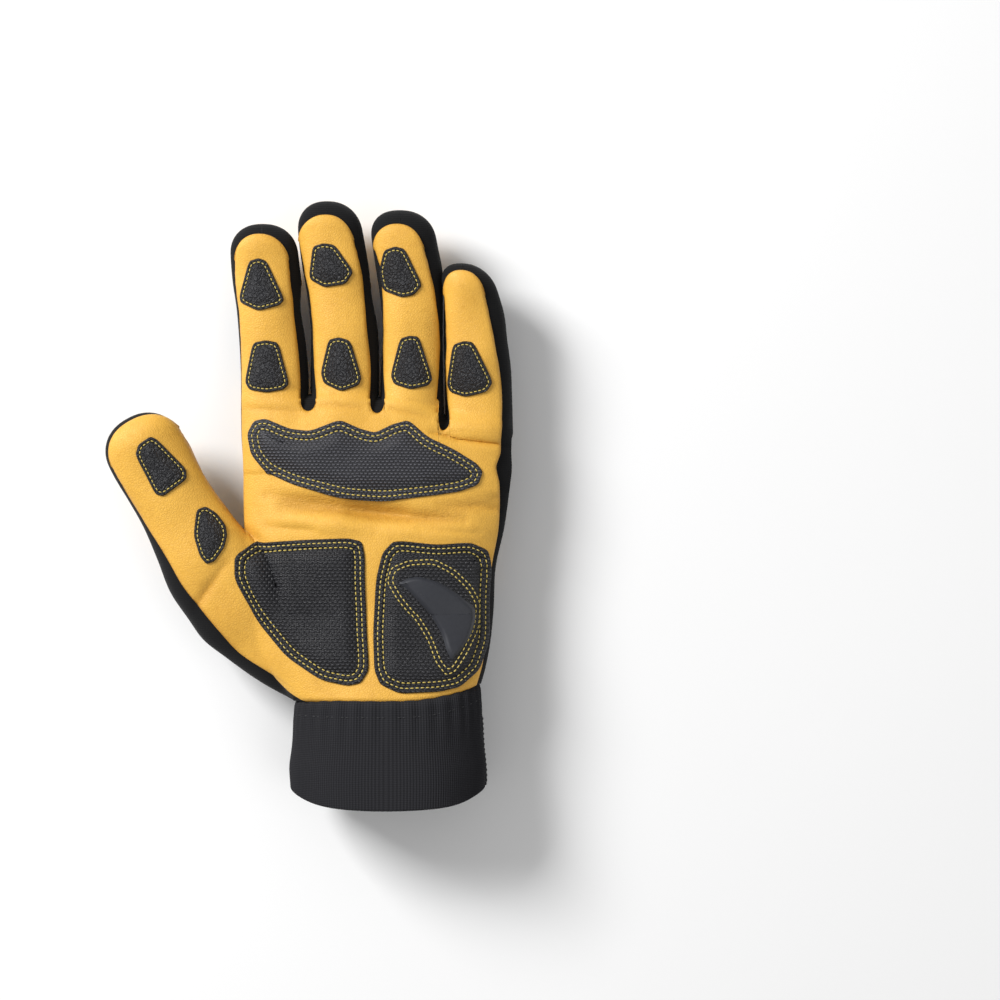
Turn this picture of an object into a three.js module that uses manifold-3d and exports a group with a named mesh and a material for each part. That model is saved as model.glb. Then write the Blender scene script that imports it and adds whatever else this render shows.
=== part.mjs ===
// Left hand work glove lying palm up: a leather palm with sewn grip pads, a knit back with leather
// overlays, knit strips between the fingers, an elastic cuff and a closing strap.
// Millimetres, +Z up out of the palm, +Y towards the fingertips, thumb towards -X. While it is built,
// Y is 0 at the cuff seam and X is 0 at the middle of the palm.
import * as THREE from 'three';
import { mergeVertices } from 'three/addons/utils/BufferGeometryUtils.js';
import Module from 'manifold-3d';

const wasm = await Module();
wasm.setup();

// Walls and clearances
const leatherWall = 1.4;
const knitWall = 1.8;
const elasticWall = 2.2;
const seamGap = 0.3;
const panelSpacing = 1.6;

// Palm and back of the hand
const palmLength = 115.6;
const palmThickness = 36;
const heelWidth = 98;
const wristWidth = 75.6;
const knuckleOverhang = 0.9;
const webThickness = 9;
const littleWebDrop = 8.4;
const cuffSeamRise = 7;

// Cuff
const cuffLength = 40.5;
const cuffWidth = 75.6;
const cuffThickness = 40;
const cuffOffset = 4.6;
const cuffEndBow = 3.4;

// Fingers: the middle finger's sizes, which the others are shares of
const fingerWidth = 26.6;
const fingerLength = 84.2;
const fingerThickness = 22.8;
const fingerGap = 0.9;
const fingerRootDepth = 26;
const fingerRootSink = 1.4;

// Thumb
const thumbWidth = 32.4;
const thumbLength = 112.4;
const thumbThickness = 25;
const thumbAngle = 29.4;
const thumbRaise = 1;
const thumbRise = 9;

// Grip pads
const padHeight = 1.2;
const padFieldHeight = 1.0;
const padBorder = 4.4;
const fingerPadHeight = 1.6;
const fingerPadWidth = 16;
const fingerPadLength = 20;
const rubberHeight = 2.2;

// Wrist strap and its tab
const strapThickness = 2.2;
const strapWidth = 33;
const strapTongueLength = 54;
const strapHem = 1.2;
const strapFlare = 3;
const tabThickness = 1.8;
const tabLength = 46;
const tabMargin = 4;
const tabEndMargin = 6.6;

// Number of flats round the tubes
const FINGER_SIDES = 14;
const PALM_SIDES = 24;

// A cut can leave crumbs far smaller than any real piece, and slivers: both are cleared
const crumbVolume = 2;
const fairing = 0.07;

const DEG = Math.PI / 180;
const LOW = -palmThickness;
const HIGH = 3 * palmThickness;
const openAir = -Infinity;

// Heights of the hand's middle plane and of the knit's rest plane over the ground
const restFloor = leatherWall + seamGap;
const palmHeight = restFloor + 0.48 * palmThickness;
const cuffFloor = strapThickness + tabThickness + 2 * seamGap;
const cuffHeight = cuffFloor + 0.49 * cuffThickness;
const fingerHeight = palmHeight - fingerRootSink;

// Fingers from the thumb side: shares of the middle finger's width, length and thickness, sideways
// lean and rise as shares of the finger's own length, and how far its web drops
const fingerTable = [
  { name: 'index', width: 1.0, length: 0.891, thickness: 0.98, lean: -0.045, rise: 0.073, drop: 0 },
  { name: 'middle', width: 1.0, length: 1.0, thickness: 1.0, lean: -0.062, rise: 0.053, drop: 0 },
  { name: 'ring', width: 0.985, length: 0.957, thickness: 0.98, lean: -0.055, rise: 0.062, drop: 0 },
  { name: 'little', width: 0.955, length: 0.803, thickness: 0.92, lean: -0.083, rise: 0.096, drop: 1 },
];

// Finger widths and thicknesses from the palm to the dome, as shares of the finger's own
const fingerRows = [
  { along: -0.5, wide: 0.9, thick: 0.9 },
  { along: 0.0, wide: 1.0, thick: 1.08 },
  { along: 0.34, wide: 0.955, thick: 0.95 },
  { along: 0.52, wide: 0.965, thick: 0.99 },
  { along: 0.68, wide: 0.95, thick: 0.94 },
  { along: 1.0, wide: 0.95, thick: 0.9 },
];
const fingerDomeShare = 0.45;

// Palm from the cuff seam to the web. Width 0 is the wrist, 1 the heel and 1.57 the knuckle line;
// shift is a share of the cuff's offset, above and below are shares of the palm's thickness.
const palmRows = [
  { along: 0.0, wide: 0, shift: 1.0, above: 0.5, below: 0.5 },
  { along: 0.06, wide: 0.28, shift: 0.66, above: 0.49, below: 0.5 },
  { along: 0.165, wide: 0.68, shift: 0.1, above: 0.48, below: 0.5 },
  { along: 0.32, wide: 1.0, shift: -0.35, above: 0.47, below: 0.51 },
  { along: 0.46, wide: 1.15, shift: -0.5, above: 0.455, below: 0.52 },
  { along: 0.6, wide: 1.34, shift: -0.15, above: 0.44, below: 0.52 },
  { along: 0.655, wide: 1.39, shift: -0.1, above: 0.405, below: 0.52 },
  { along: 0.71, wide: 1.45, shift: 0, above: 0.43, below: 0.52 },
  { along: 0.81, wide: 1.52, shift: 0.1, above: 0.42, below: 0.52 },
  { along: 0.91, wide: 1.55, shift: 0, above: 0.4, below: 0.5 },
  { along: 1.0, wide: 1.57, shift: 0, above: 0.33, below: 0.4 },
];
// The wrist is rounder than the palm and lifts to the cuff over this share of the palm's length
const wristShare = 0.3;
// The web line drops to the little finger over the last part of the palm
const webShare = 0.75;

// Cuff from its open end to the seam, as shares of its length, width and thickness
const cuffRows = [
  { along: -1.0, wide: 1.02, thick: 1.03 },
  { along: -0.72, wide: 1.03, thick: 1.03 },
  { along: -0.4, wide: 1.0, thick: 1.0 },
  { along: -0.14, wide: 0.985, thick: 0.98 },
  { along: 0.0, wide: 1.0, thick: 0.97 },
];

// Thumb from inside the heel of the hand to its dome, as shares of its length, width and thickness
const thumbRows = [
  { along: -0.14, wide: 0.3, thick: 0.7, shift: 0.14 },
  { along: -0.07, wide: 0.56, thick: 0.86, shift: 0.12 },
  { along: 0.02, wide: 0.8, thick: 0.96, shift: 0.1 },
  { along: 0.12, wide: 1.03, thick: 1.06, shift: 0.07 },
  { along: 0.25, wide: 1.16, thick: 1.12, shift: 0.04 },
  { along: 0.38, wide: 1.2, thick: 1.16, shift: 0.0 },
  { along: 0.5, wide: 1.12, thick: 1.1, shift: 0.0 },
  { along: 0.62, wide: 1.02, thick: 1.0, shift: 0.0 },
  { along: 0.74, wide: 0.98, thick: 0.96, shift: 0.0 },
  { along: 0.86, wide: 1.0, thick: 0.96, shift: 0.02 },
  { along: 1.0, wide: 0.96, thick: 0.88, shift: 0.03 },
];
const thumbDome = 0.4 * thumbWidth;
const thumbStraight = thumbLength - thumbDome;
// Where the thumb's axis starts: shares of the heel's width and the palm's length
const thumbBase = { across: -0.451, along: 0.125 };

// Turns from the last full section of a finger or thumb to its tip, in degrees
const domeTurns = [30, 55, 76];
const webTurns = [35, 65, 85];
const tubeSquareness = 2.35;
const palmSquareness = 2.7;

// Linear reading of a table of rows by its along column
function readRow(rows, along) {
  const last = rows.length - 1;
  if (along <= rows[0].along) return rows[0];
  if (along >= rows[last].along) return rows[last];
  const upper = rows.findIndex((row) => row.along >= along);
  const low = rows[upper - 1];
  const high = rows[upper];
  const share = (along - low.along) / (high.along - low.along);
  const out = {};
  for (const column of Object.keys(low)) out[column] = low[column] + (high[column] - low[column]) * share;
  return out;
}

// Closed geometry to a solid for joining and cutting; a shape wound inside out is turned round
function toSolid(geometry) {
  const bare = geometry.clone();
  for (const name of Object.keys(bare.attributes)) if (name !== 'position') bare.deleteAttribute(name);
  const merged = mergeVertices(bare, 1e-4);
  const mesh = {
    numProp: 3,
    vertProperties: new Float32Array(merged.attributes.position.array),
    triVerts: new Uint32Array(merged.index.array),
  };
  const solid = new wasm.Manifold(new wasm.Mesh(mesh));
  if (solid.volume() > 0) return solid;
  return new wasm.Manifold(new wasm.Mesh({ ...mesh, triVerts: mesh.triVerts.reverse() }));
}

// Solid from equal closed rings. A ring runs one way along one side and back along the other, so each
// end is closed by rungs between the two.
function loftRings(rings) {
  const sides = rings[0].length;
  const indices = [];
  for (let r = 0; r < rings.length - 1; r += 1) {
    for (let s = 0; s < sides; s += 1) {
      const a = r * sides + s;
      const b = r * sides + ((s + 1) % sides);
      indices.push(a, b, a + sides, b, b + sides, a + sides);
    }
  }
  const last = (rings.length - 1) * sides;
  for (let s = 0; s < sides / 2 - 1; s += 1) {
    const [a, b, c, d] = [s, s + 1, sides - 2 - s, sides - 1 - s];
    indices.push(b, a, d, b, d, c);
    indices.push(last + a, last + b, last + d, last + b, last + c, last + d);
  }
  const geometry = new THREE.BufferGeometry();
  geometry.setAttribute('position', new THREE.Float32BufferAttribute(rings.flat(2), 3));
  geometry.setIndex(indices);
  return toSolid(geometry);
}

function joinAll(solids) {
  return solids.reduce((sum, solid) => sum.add(solid));
}

// A section of a tube: its middle, half sizes, turn in the ground plane and sideways warp
const plainSection = {
  shrink: 1,
  cos: 1,
  sin: 0,
  squareness: tubeSquareness,
  floor: openAir,
  warp: () => 0,
};

// One cross-section as points: a rounded box shape about its centre, flattened where it rests.
// grow moves the surface outwards; squareness 2 is an ellipse and more is boxier.
function sectionRing(section, sides, grow) {
  const ring = [];
  const power = 2 / section.squareness;
  const bent = (value) => Math.sign(value) * Math.abs(value) ** power;
  for (let s = 0; s < sides; s += 1) {
    const turn = (2 * Math.PI * (s + 0.5)) / sides;
    const across = bent(Math.cos(turn));
    const up = bent(Math.sin(turn));
    const height = up > 0 ? section.above : section.below;
    const side = (section.halfWidth + grow * section.shrink) * across;
    const z = section.z + (height + grow * section.shrink) * up;
    ring.push([
      section.x + side * section.cos,
      section.y + side * section.sin + section.warp(across),
      Math.max(z, section.floor - grow),
    ]);
  }
  return ring;
}

function tube(sections, sides, grow) {
  return loftRings(sections.map((section) => sectionRing(section, sides, grow)));
}

function shrunk(section, share) {
  return {
    ...section,
    halfWidth: section.halfWidth * share,
    above: section.above * share,
    below: section.below * share,
    shrink: share,
  };
}

// Sections of a rounded end past the last one. sectionAt reads the tube's middle further along.
function domeSections(end, dome, turns, sectionAt) {
  return turns.map((turn) => {
    const centre = sectionAt(dome * Math.sin(turn * DEG));
    return { ...shrunk(end, Math.cos(turn * DEG)), x: centre.x, y: centre.y, z: centre.z };
  });
}

// Fingers, placed side by side from their widths
const fingers = fingerTable.map((row) => ({
  ...row,
  width: row.width * fingerWidth,
  length: row.length * fingerLength,
  thickness: row.thickness * fingerThickness,
  webY: palmLength - row.drop * littleWebDrop,
  dome: fingerDomeShare * row.width * fingerWidth,
}));
const widthSum = fingers.reduce((sum, finger) => sum + finger.width, 0);
const knuckleWidth = widthSum + fingerGap * (fingers.length - 1) + 2 * knuckleOverhang;
let edgeX = -knuckleWidth / 2 + knuckleOverhang;
for (const finger of fingers) {
  finger.rootX = edgeX + finger.width / 2;
  finger.tipY = finger.webY + finger.length;
  edgeX += finger.width + fingerGap;
}
const [indexFinger, middleFinger, ringFinger, littleFinger] = fingers;

function fingerSection(finger, y) {
  const row = readRow(fingerRows, (y - finger.webY) / (finger.length - finger.dome));
  const past = y - finger.webY;
  return {
    ...plainSection,
    x: finger.rootX + finger.lean * past,
    y,
    z: fingerHeight + finger.rise * finger.length * Math.max(past / finger.length, 0) ** 1.5,
    halfWidth: (finger.width * row.wide) / 2,
    above: (finger.thickness * row.thick) / 2,
    below: (finger.thickness * row.thick) / 2,
  };
}

function fingerSections(finger, grow) {
  const straight = finger.length - finger.dome;
  const sections = [fingerSection(finger, finger.webY - fingerRootDepth)];
  for (const row of fingerRows.slice(1)) sections.push(fingerSection(finger, finger.webY + straight * row.along));
  const end = sections[sections.length - 1];
  const centreAt = (past) => fingerSection(finger, end.y + past);
  return [...sections, ...domeSections(end, finger.dome + grow, domeTurns, centreAt)];
}

// The web line runs straight under three fingers and drops to the little finger
const dropStart = middleFinger.rootX;
const dropReach = littleFinger.rootX - littleFinger.width / 2 - dropStart;
function webDropAt(x) {
  const share = Math.max(0, Math.min(1, (x - dropStart) / dropReach));
  return littleWebDrop * share ** 2;
}

// The cuff seam rises towards the little finger side
function seamRiseAt(across) {
  return cuffSeamRise * Math.max(0, across) ** 2.5;
}

const knuckleShare = palmRows[palmRows.length - 1].wide;
function palmHalfWidth(wide) {
  if (wide <= 1) return (wristWidth + (heelWidth - wristWidth) * wide) / 2;
  return (heelWidth + ((knuckleWidth - heelWidth) * (wide - 1)) / (knuckleShare - 1)) / 2;
}

function palmSection(along) {
  const row = readRow(palmRows, along);
  const halfWidth = palmHalfWidth(row.wide);
  const wrist = Math.max(0, 1 - along / wristShare);
  const web = Math.max(0, along - webShare) / (1 - webShare);
  const x = cuffOffset * row.shift;
  return {
    ...plainSection,
    x,
    y: palmLength * along,
    z: palmHeight + (cuffHeight - palmHeight) * wrist,
    halfWidth,
    above: palmThickness * row.above,
    below: palmThickness * row.below,
    squareness: palmSquareness + (tubeSquareness - palmSquareness) * wrist,
    floor: restFloor + (cuffFloor - restFloor) * wrist,
    warp: (across) => seamRiseAt(across) * wrist - webDropAt(x + halfWidth * across) * web,
  };
}

// openBelow lengthens the tube past the cuff seam, for a hollow that is open there
function palmSections(grow, openBelow) {
  const sections = palmRows.map((row) => palmSection(row.along));
  if (openBelow > 0) sections.unshift({ ...sections[0], y: sections[0].y - openBelow });
  const end = sections[sections.length - 1];
  for (const turn of webTurns) {
    const share = Math.cos(turn * DEG);
    const y = end.y + (webThickness / 2 + grow) * Math.sin(turn * DEG);
    const narrowing = (webThickness / 3) * (1 - share);
    sections.push({ ...shrunk(end, share), halfWidth: end.halfWidth - narrowing, y });
  }
  return sections;
}

function thumbPoint(distance, side) {
  const cos = Math.cos(thumbAngle * DEG);
  const sin = Math.sin(thumbAngle * DEG);
  const baseX = thumbBase.across * heelWidth;
  const baseY = thumbBase.along * palmLength;
  return [baseX - distance * sin + side * cos, baseY + distance * cos + side * sin];
}

function thumbSection(distance) {
  const row = readRow(thumbRows, distance / thumbStraight);
  const [x, y] = thumbPoint(distance, row.shift * thumbWidth);
  return {
    ...plainSection,
    x,
    y,
    z: palmHeight + thumbRaise + thumbRise * Math.max(0, distance / thumbLength) ** 1.5,
    halfWidth: (thumbWidth * row.wide) / 2,
    above: (thumbThickness * row.thick) / 2,
    below: (thumbThickness * row.thick) / 2,
    cos: Math.cos(thumbAngle * DEG),
    sin: Math.sin(thumbAngle * DEG),
  };
}

function thumbSections(grow) {
  const sections = thumbRows.map((row) => thumbSection(thumbStraight * row.along));
  const end = sections[sections.length - 1];
  const centreAt = (past) => thumbSection(thumbStraight + past);
  return [...sections, ...domeSections(end, thumbDome + grow, domeTurns, centreAt)];
}

// The whole hand form without the cuff, its surface moved outwards by grow
function handForm(grow, openBelow = 0) {
  const solids = fingers.map((finger) => tube(fingerSections(finger, grow), FINGER_SIDES, grow));
  solids.push(tube(palmSections(grow, openBelow), PALM_SIDES, grow));
  solids.push(tube(thumbSections(grow), FINGER_SIDES, grow));
  return joinAll(solids);
}

function cuffSection(row) {
  const seam = 1 + row.along;
  return {
    ...plainSection,
    x: cuffOffset,
    y: cuffLength * row.along - 2 * seamGap,
    z: cuffHeight,
    halfWidth: (cuffWidth * row.wide) / 2,
    above: (cuffThickness * row.thick) / 2,
    below: (cuffThickness * row.thick) / 2,
    floor: cuffFloor,
    warp: (across) => seamRiseAt(across) * seam + cuffEndBow * (across ** 2 - 0.5) * (1 - seam),
  };
}

// The cuff's form moved outwards by grow, and lengthened at both ends to cut it through
function cuffForm(grow, pastEnds = 0) {
  const sections = cuffRows.map(cuffSection);
  const first = sections[0];
  const last = sections[sections.length - 1];
  if (pastEnds > 0) {
    sections.unshift({ ...first, y: first.y - pastEnds });
    sections.push({ ...last, y: last.y + pastEnds });
  }
  return tube(sections, PALM_SIDES, grow);
}

// Leather front cutter: a run of boxes above each tube's middle, from its left to its right seam.
// The seams are shares of the half width; over 1 the leather wraps round the side.
const CUTTER_STEPS = 10;
function frontBoxes(sections, edges, grow) {
  const rings = sections.map((section, i) => {
    const left = -edges[i].left * section.halfWidth;
    const right = edges[i].right * section.halfWidth;
    const rows = [
      { height: section.z - grow, from: left, to: right, out: grow },
      { height: HIGH, from: right, to: left, out: -grow },
    ];
    const ring = [];
    for (const { height, from, to, out } of rows) {
      for (let step = 0; step <= CUTTER_STEPS; step += 1) {
        const reach = from + (to - from) * (step / CUTTER_STEPS);
        const across = Math.max(-1, Math.min(1, reach / section.halfWidth));
        const side = reach + (step === 0 ? -out : 0) + (step === CUTTER_STEPS ? out : 0);
        const y = section.y + side * section.sin + section.warp(across);
        ring.push([section.x + side * section.cos, y, height]);
      }
    }
    return ring;
  });
  return loftRings(rings);
}

// Where the palm leather ends on each finger: shares of the half width at the web, halfway and at the
// tip, and how far the knit rim reaches down from the tip as a share of the finger's width
const fingerSeams = {
  index: { left: [0.93, 0.9, 0.9], right: [0.84, 0.75, 0.72], rim: 0.165 },
  middle: { left: [0.8, 0.86, 0.95], right: [0.82, 0.72, 0.7], rim: 0.218 },
  ring: { left: [0.82, 0.88, 0.95], right: [0.84, 0.74, 0.62], rim: 0.218 },
  little: { left: [0.95, 0.95, 0.98], right: [0.72, 0.56, 0.45], rim: 0.135 },
};
const frontDepth = fingerRootDepth / 4;

function fingerFront(finger, grow) {
  const seams = fingerSeams[finger.name];
  const straight = finger.length - finger.dome;
  const sections = [fingerSection(finger, finger.webY - frontDepth)];
  for (const along of [0.0, 0.5, 1.0]) sections.push(fingerSection(finger, finger.webY + straight * along));
  const end = sections[sections.length - 1];
  const dome = finger.dome - seams.rim * finger.width + grow;
  const centreAt = (past) => ({ ...fingerSection(finger, end.y + past), z: end.z });
  sections.push(...domeSections(end, dome, domeTurns, centreAt));
  const edges = sections.map((section, i) => {
    const row = Math.max(0, Math.min(2, i - 1));
    return { left: seams.left[row], right: seams.right[row] };
  });
  return frontBoxes(sections, edges, grow);
}

// On the palm the leather wraps round both sides at the heel, and stops short of the little finger side
const wrapShare = 1.2;
const littleSeam = { from: 0.5, across: 0.935 };
function palmFront(grow) {
  const sections = palmRows.map((row) => palmSection(row.along));
  const last = sections[sections.length - 1];
  sections[0] = { ...sections[0], y: -cuffLength / 2 };
  sections[sections.length - 1] = { ...last, y: last.y + seamGap + grow };
  const edges = palmRows.map((row) => ({
    left: wrapShare,
    right: row.along < littleSeam.from ? wrapShare : littleSeam.across,
  }));
  return frontBoxes(sections, edges, grow);
}

// On the thumb a knit strip shows along the outer side and widens towards the wrist
const thumbSeam = { base: 0.6, tip: 0.9, rim: 0.08 };
function thumbFront(grow) {
  const sections = thumbRows.map((row) => thumbSection(thumbStraight * row.along));
  const end = sections[sections.length - 1];
  const dome = thumbDome - thumbSeam.rim * thumbWidth + grow;
  const centreAt = (past) => ({ ...thumbSection(thumbStraight + past), z: end.z });
  sections.push(...domeSections(end, dome, domeTurns, centreAt));
  const edges = sections.map((section, i) => {
    const share = i / (sections.length - 1);
    return { left: thumbSeam.base + (thumbSeam.tip - thumbSeam.base) * share, right: wrapShare };
  });
  return frontBoxes(sections, edges, grow);
}

function leatherFront(grow) {
  return joinAll([...fingers.map((finger) => fingerFront(finger, grow)), palmFront(grow), thumbFront(grow)]);
}

// Cutter for the strip between two neighbouring fingers, from its seam with the back upwards
const stripSeam = 0.42;
const stripInset = 0.3;
const STRIP_STEPS = 6;
function fourchetteCutter(leftFinger, rightFinger, grow) {
  const bottomY = Math.min(leftFinger.webY, rightFinger.webY) - frontDepth - grow;
  const topY = Math.min(leftFinger.tipY, rightFinger.tipY) - fingerDomeShare * rightFinger.dome + grow;
  const rings = [];
  for (let step = 0; step <= STRIP_STEPS; step += 1) {
    const y = bottomY + ((topY - bottomY) * step) / STRIP_STEPS;
    const a = fingerSection(leftFinger, y);
    const b = fingerSection(rightFinger, y);
    const left = a.x + a.halfWidth * stripInset - grow;
    const right = b.x - b.halfWidth * stripInset + grow;
    const low = Math.min(a.z - a.below * stripSeam, b.z - b.below * stripSeam) - grow;
    rings.push([[left, y, low], [right, y, low], [right, y, HIGH], [left, y, HIGH]]);
  }
  return loftRings(rings);
}

// Prism over a plane outline of [x, y] points
function prism(points, low, high) {
  const shape = new THREE.Shape(points.map(([x, y]) => new THREE.Vector2(x, y)));
  const geometry = new THREE.ExtrudeGeometry(shape, { depth: high - low, bevelEnabled: false });
  geometry.translate(0, 0, low);
  return toSolid(geometry);
}

// Closed smooth outline through control points, sampled evenly
function smoothOutline(points, samples, tension = 0.5) {
  const controls = points.map(([x, y]) => new THREE.Vector3(x, y, 0));
  const curve = new THREE.CatmullRomCurve3(controls, true, 'catmullrom', tension);
  return curve.getSpacedPoints(samples).slice(0, samples).map((p) => [p.x, p.y]);
}

// Outline moved inwards by a distance along its mitred corners, or outwards by a negative one
function insetOutline(points, distance) {
  const count = points.length;
  const inward = THREE.ShapeUtils.area(points.map(([x, y]) => ({ x, y }))) > 0 ? distance : -distance;
  const normalFrom = (from, to) => {
    const size = Math.hypot(to[0] - from[0], to[1] - from[1]);
    return [(from[1] - to[1]) / size, (to[0] - from[0]) / size];
  };
  return points.map((point, i) => {
    const [ax, ay] = normalFrom(points[(i + count - 1) % count], point);
    const [bx, by] = normalFrom(point, points[(i + 1) % count]);
    const mitre = inward / Math.max(0.25, 1 + ax * bx + ay * by);
    return [point[0] + (ax + bx) * mitre, point[1] + (ay + by) * mitre];
  });
}

// A place on the hand from shares of the palm's half width and length; past 1 it follows the fingers
function handPoint(row) {
  const section = palmSection(Math.min(1, row.along));
  return [section.x + row.across * section.halfWidth, row.along * palmLength];
}

// Materials
const palmLeather = { color: 0xe6a83c, roughness: 0.6, metalness: 0 };
const backLeather = { color: 0xcf9a2e, roughness: 0.65, metalness: 0 };
const knit = { color: 0x17171a, roughness: 0.95, metalness: 0 };
const gripSheet = { color: 0x3a3b40, roughness: 0.7, metalness: 0 };
const smoothRubber = { color: 0x4a4c54, roughness: 0.4, metalness: 0 };
const elastic = { color: 0x121214, roughness: 0.9, metalness: 0 };

const glove = new THREE.Group();
glove.name = 'glove';

function addPiece(name, solid, finish) {
  const whole = joinAll(solid.decompose().filter((part) => part.volume() > crumbVolume));
  const { vertProperties, triVerts } = whole.simplify(fairing).getMesh();
  const geometry = new THREE.BufferGeometry();
  geometry.setAttribute('position', new THREE.BufferAttribute(new Float32Array(vertProperties), 3));
  geometry.setIndex(new THREE.BufferAttribute(new Uint32Array(triVerts), 1));
  const piece = new THREE.Mesh(geometry, new THREE.MeshStandardMaterial(finish));
  piece.name = name;
  glove.add(piece);
}

// The sewn hand: leather front, knit strips between the fingers, knit back
const hand = handForm(0);
const leatherShell = hand.subtract(handForm(-leatherWall, cuffLength));
const knitShell = hand.subtract(handForm(-knitWall, cuffLength));
const frontWithGap = leatherFront(seamGap);
addPiece('palm_panel', leatherShell.intersect(leatherFront(0)), palmLeather);

const stripCutters = [];
for (let i = 0; i < fingers.length - 1; i += 1) {
  const name = `fourchette_${fingers[i].name}_${fingers[i + 1].name}`;
  const cutter = fourchetteCutter(fingers[i], fingers[i + 1], 0);
  addPiece(name, knitShell.intersect(cutter).subtract(frontWithGap), knit);
  stripCutters.push(fourchetteCutter(fingers[i], fingers[i + 1], seamGap));
}
addPiece('back_panel', knitShell.subtract(frontWithGap).subtract(joinAll(stripCutters)), knit);

// Elastic cuff, open at the wrist
addPiece('cuff_band', cuffForm(0).subtract(cuffForm(-elasticWall, cuffLength)), elastic);

// Leather overlays topstitched on the knit back: a skin over the hand form inside a plane outline
const overlaySkin = handForm(seamGap + leatherWall).subtract(handForm(seamGap));

// Knuckle panel outline, right round from the index finger's outer side
const knuckleRows = [
  { across: -1.024, along: 1.09 },
  { across: -0.84, along: 1.137 },
  { across: -0.58, along: 1.155 },
  { across: -0.524, along: 1.15 },
  { across: -0.516, along: 1.0 },
  { across: -0.5, along: 1.0 },
  { across: -0.492, along: 1.15 },
  { across: -0.44, along: 1.162 },
  { across: -0.24, along: 1.175 },
  { across: -0.04, along: 1.165 },
  { across: 0.0, along: 1.155 },
  { across: 0.006, along: 1.0 },
  { across: 0.022, along: 1.0 },
  { across: 0.03, along: 1.15 },
  { across: 0.26, along: 1.13 },
  { across: 0.45, along: 1.09 },
  { across: 0.486, along: 1.08 },
  { across: 0.497, along: 0.93 },
  { across: 0.513, along: 0.93 },
  { across: 0.524, along: 1.075 },
  { across: 0.72, along: 1.05 },
  { across: 0.89, along: 1.005 },
  { across: 0.903, along: 0.7 },
  { across: 0.936, along: 0.5 },
  { across: 0.892, along: 0.315 },
  { across: 0.816, along: 0.44 },
  { across: 0.575, along: 0.575 },
  { across: 0.402, along: 0.655 },
  { across: 0.217, along: 0.7 },
  { across: 0.02, along: 0.715 },
  { across: -0.183, along: 0.7 },
  { across: -0.364, along: 0.665 },
  { across: -0.592, along: 0.6 },
  { across: -0.842, along: 0.46 },
  { across: -1.126, along: 0.355 },
];
const knuckleOutline = knuckleRows.map(handPoint);
const overlayHigh = restFloor + 0.36 * palmThickness;
addPiece('knuckle_panel', overlaySkin.intersect(prism(knuckleOutline, LOW, overlayHigh)), backLeather);

// Tip caps on the backs of three fingers: how far each reaches down at its sides and its middle, as
// shares of the finger's width
const tipCaps = [
  { finger: indexFinger, sides: 0.94, middle: 0.68 },
  { finger: middleFinger, sides: 1.32, middle: 1.02 },
  { finger: ringFinger, sides: 1.18, middle: 0.88 },
];
const capWidthShare = 0.82;
const capInset = 0.06;
const CAP_STEPS = 8;
for (const { finger, sides, middle } of tipCaps) {
  const shoulder = fingerSection(finger, finger.tipY - finger.dome);
  const lower = [];
  const upper = [];
  for (let step = 0; step <= CAP_STEPS; step += 1) {
    const across = -1 + (2 * step) / CAP_STEPS;
    const y = finger.tipY - finger.width * (middle + (sides - middle) * across ** 2);
    const section = fingerSection(finger, y);
    lower.push([section.x + across * capWidthShare * section.halfWidth, y]);
    const turn = (Math.PI * step) / CAP_STEPS;
    upper.push([
      shoulder.x + Math.cos(turn) * capWidthShare * shoulder.halfWidth,
      shoulder.y + Math.sin(turn) * (finger.dome - capInset * finger.width),
    ]);
  }
  const capHigh = shoulder.z - seamGap;
  addPiece(`tip_cap_${finger.name}`, overlaySkin.intersect(prism([...lower, ...upper], LOW, capHigh)), backLeather);
}

// Leather on the back of the thumb: rows of its side seams in half widths
const thumbBackRows = [
  { along: 0.27, left: 0.12, right: 0.3 },
  { along: 0.36, left: 0.42, right: 0.62 },
  { along: 0.5, left: 0.6, right: 0.78 },
  { along: 0.66, left: 0.72, right: 0.84 },
  { along: 0.8, left: 0.78, right: 0.84 },
  { along: 0.9, left: 0.72, right: 0.78 },
  { along: 0.96, left: 0.46, right: 0.5 },
];
const thumbBackLeft = [];
const thumbBackRight = [];
for (const row of thumbBackRows) {
  const distance = row.along * thumbLength;
  const { halfWidth } = thumbSection(distance);
  thumbBackLeft.push(thumbPoint(distance, -row.left * halfWidth));
  thumbBackRight.unshift(thumbPoint(distance, row.right * halfWidth));
}
const thumbBackOutline = [...thumbBackLeft, ...thumbBackRight];
const knuckleKeepOut = prism(insetOutline(knuckleOutline, -panelSpacing), LOW, HIGH);
addPiece('thumb_back_panel', overlaySkin
  .intersect(prism(thumbBackOutline, LOW, palmHeight - seamGap))
  .subtract(knuckleKeepOut), backLeather);

// Grip pads on the palm: a stitched border and a raised field over the leather
const padSeat = handForm(seamGap);
const padBase = handForm(seamGap + padHeight).subtract(padSeat);
const padField = handForm(seamGap + padHeight + padFieldHeight).subtract(padSeat);

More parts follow.
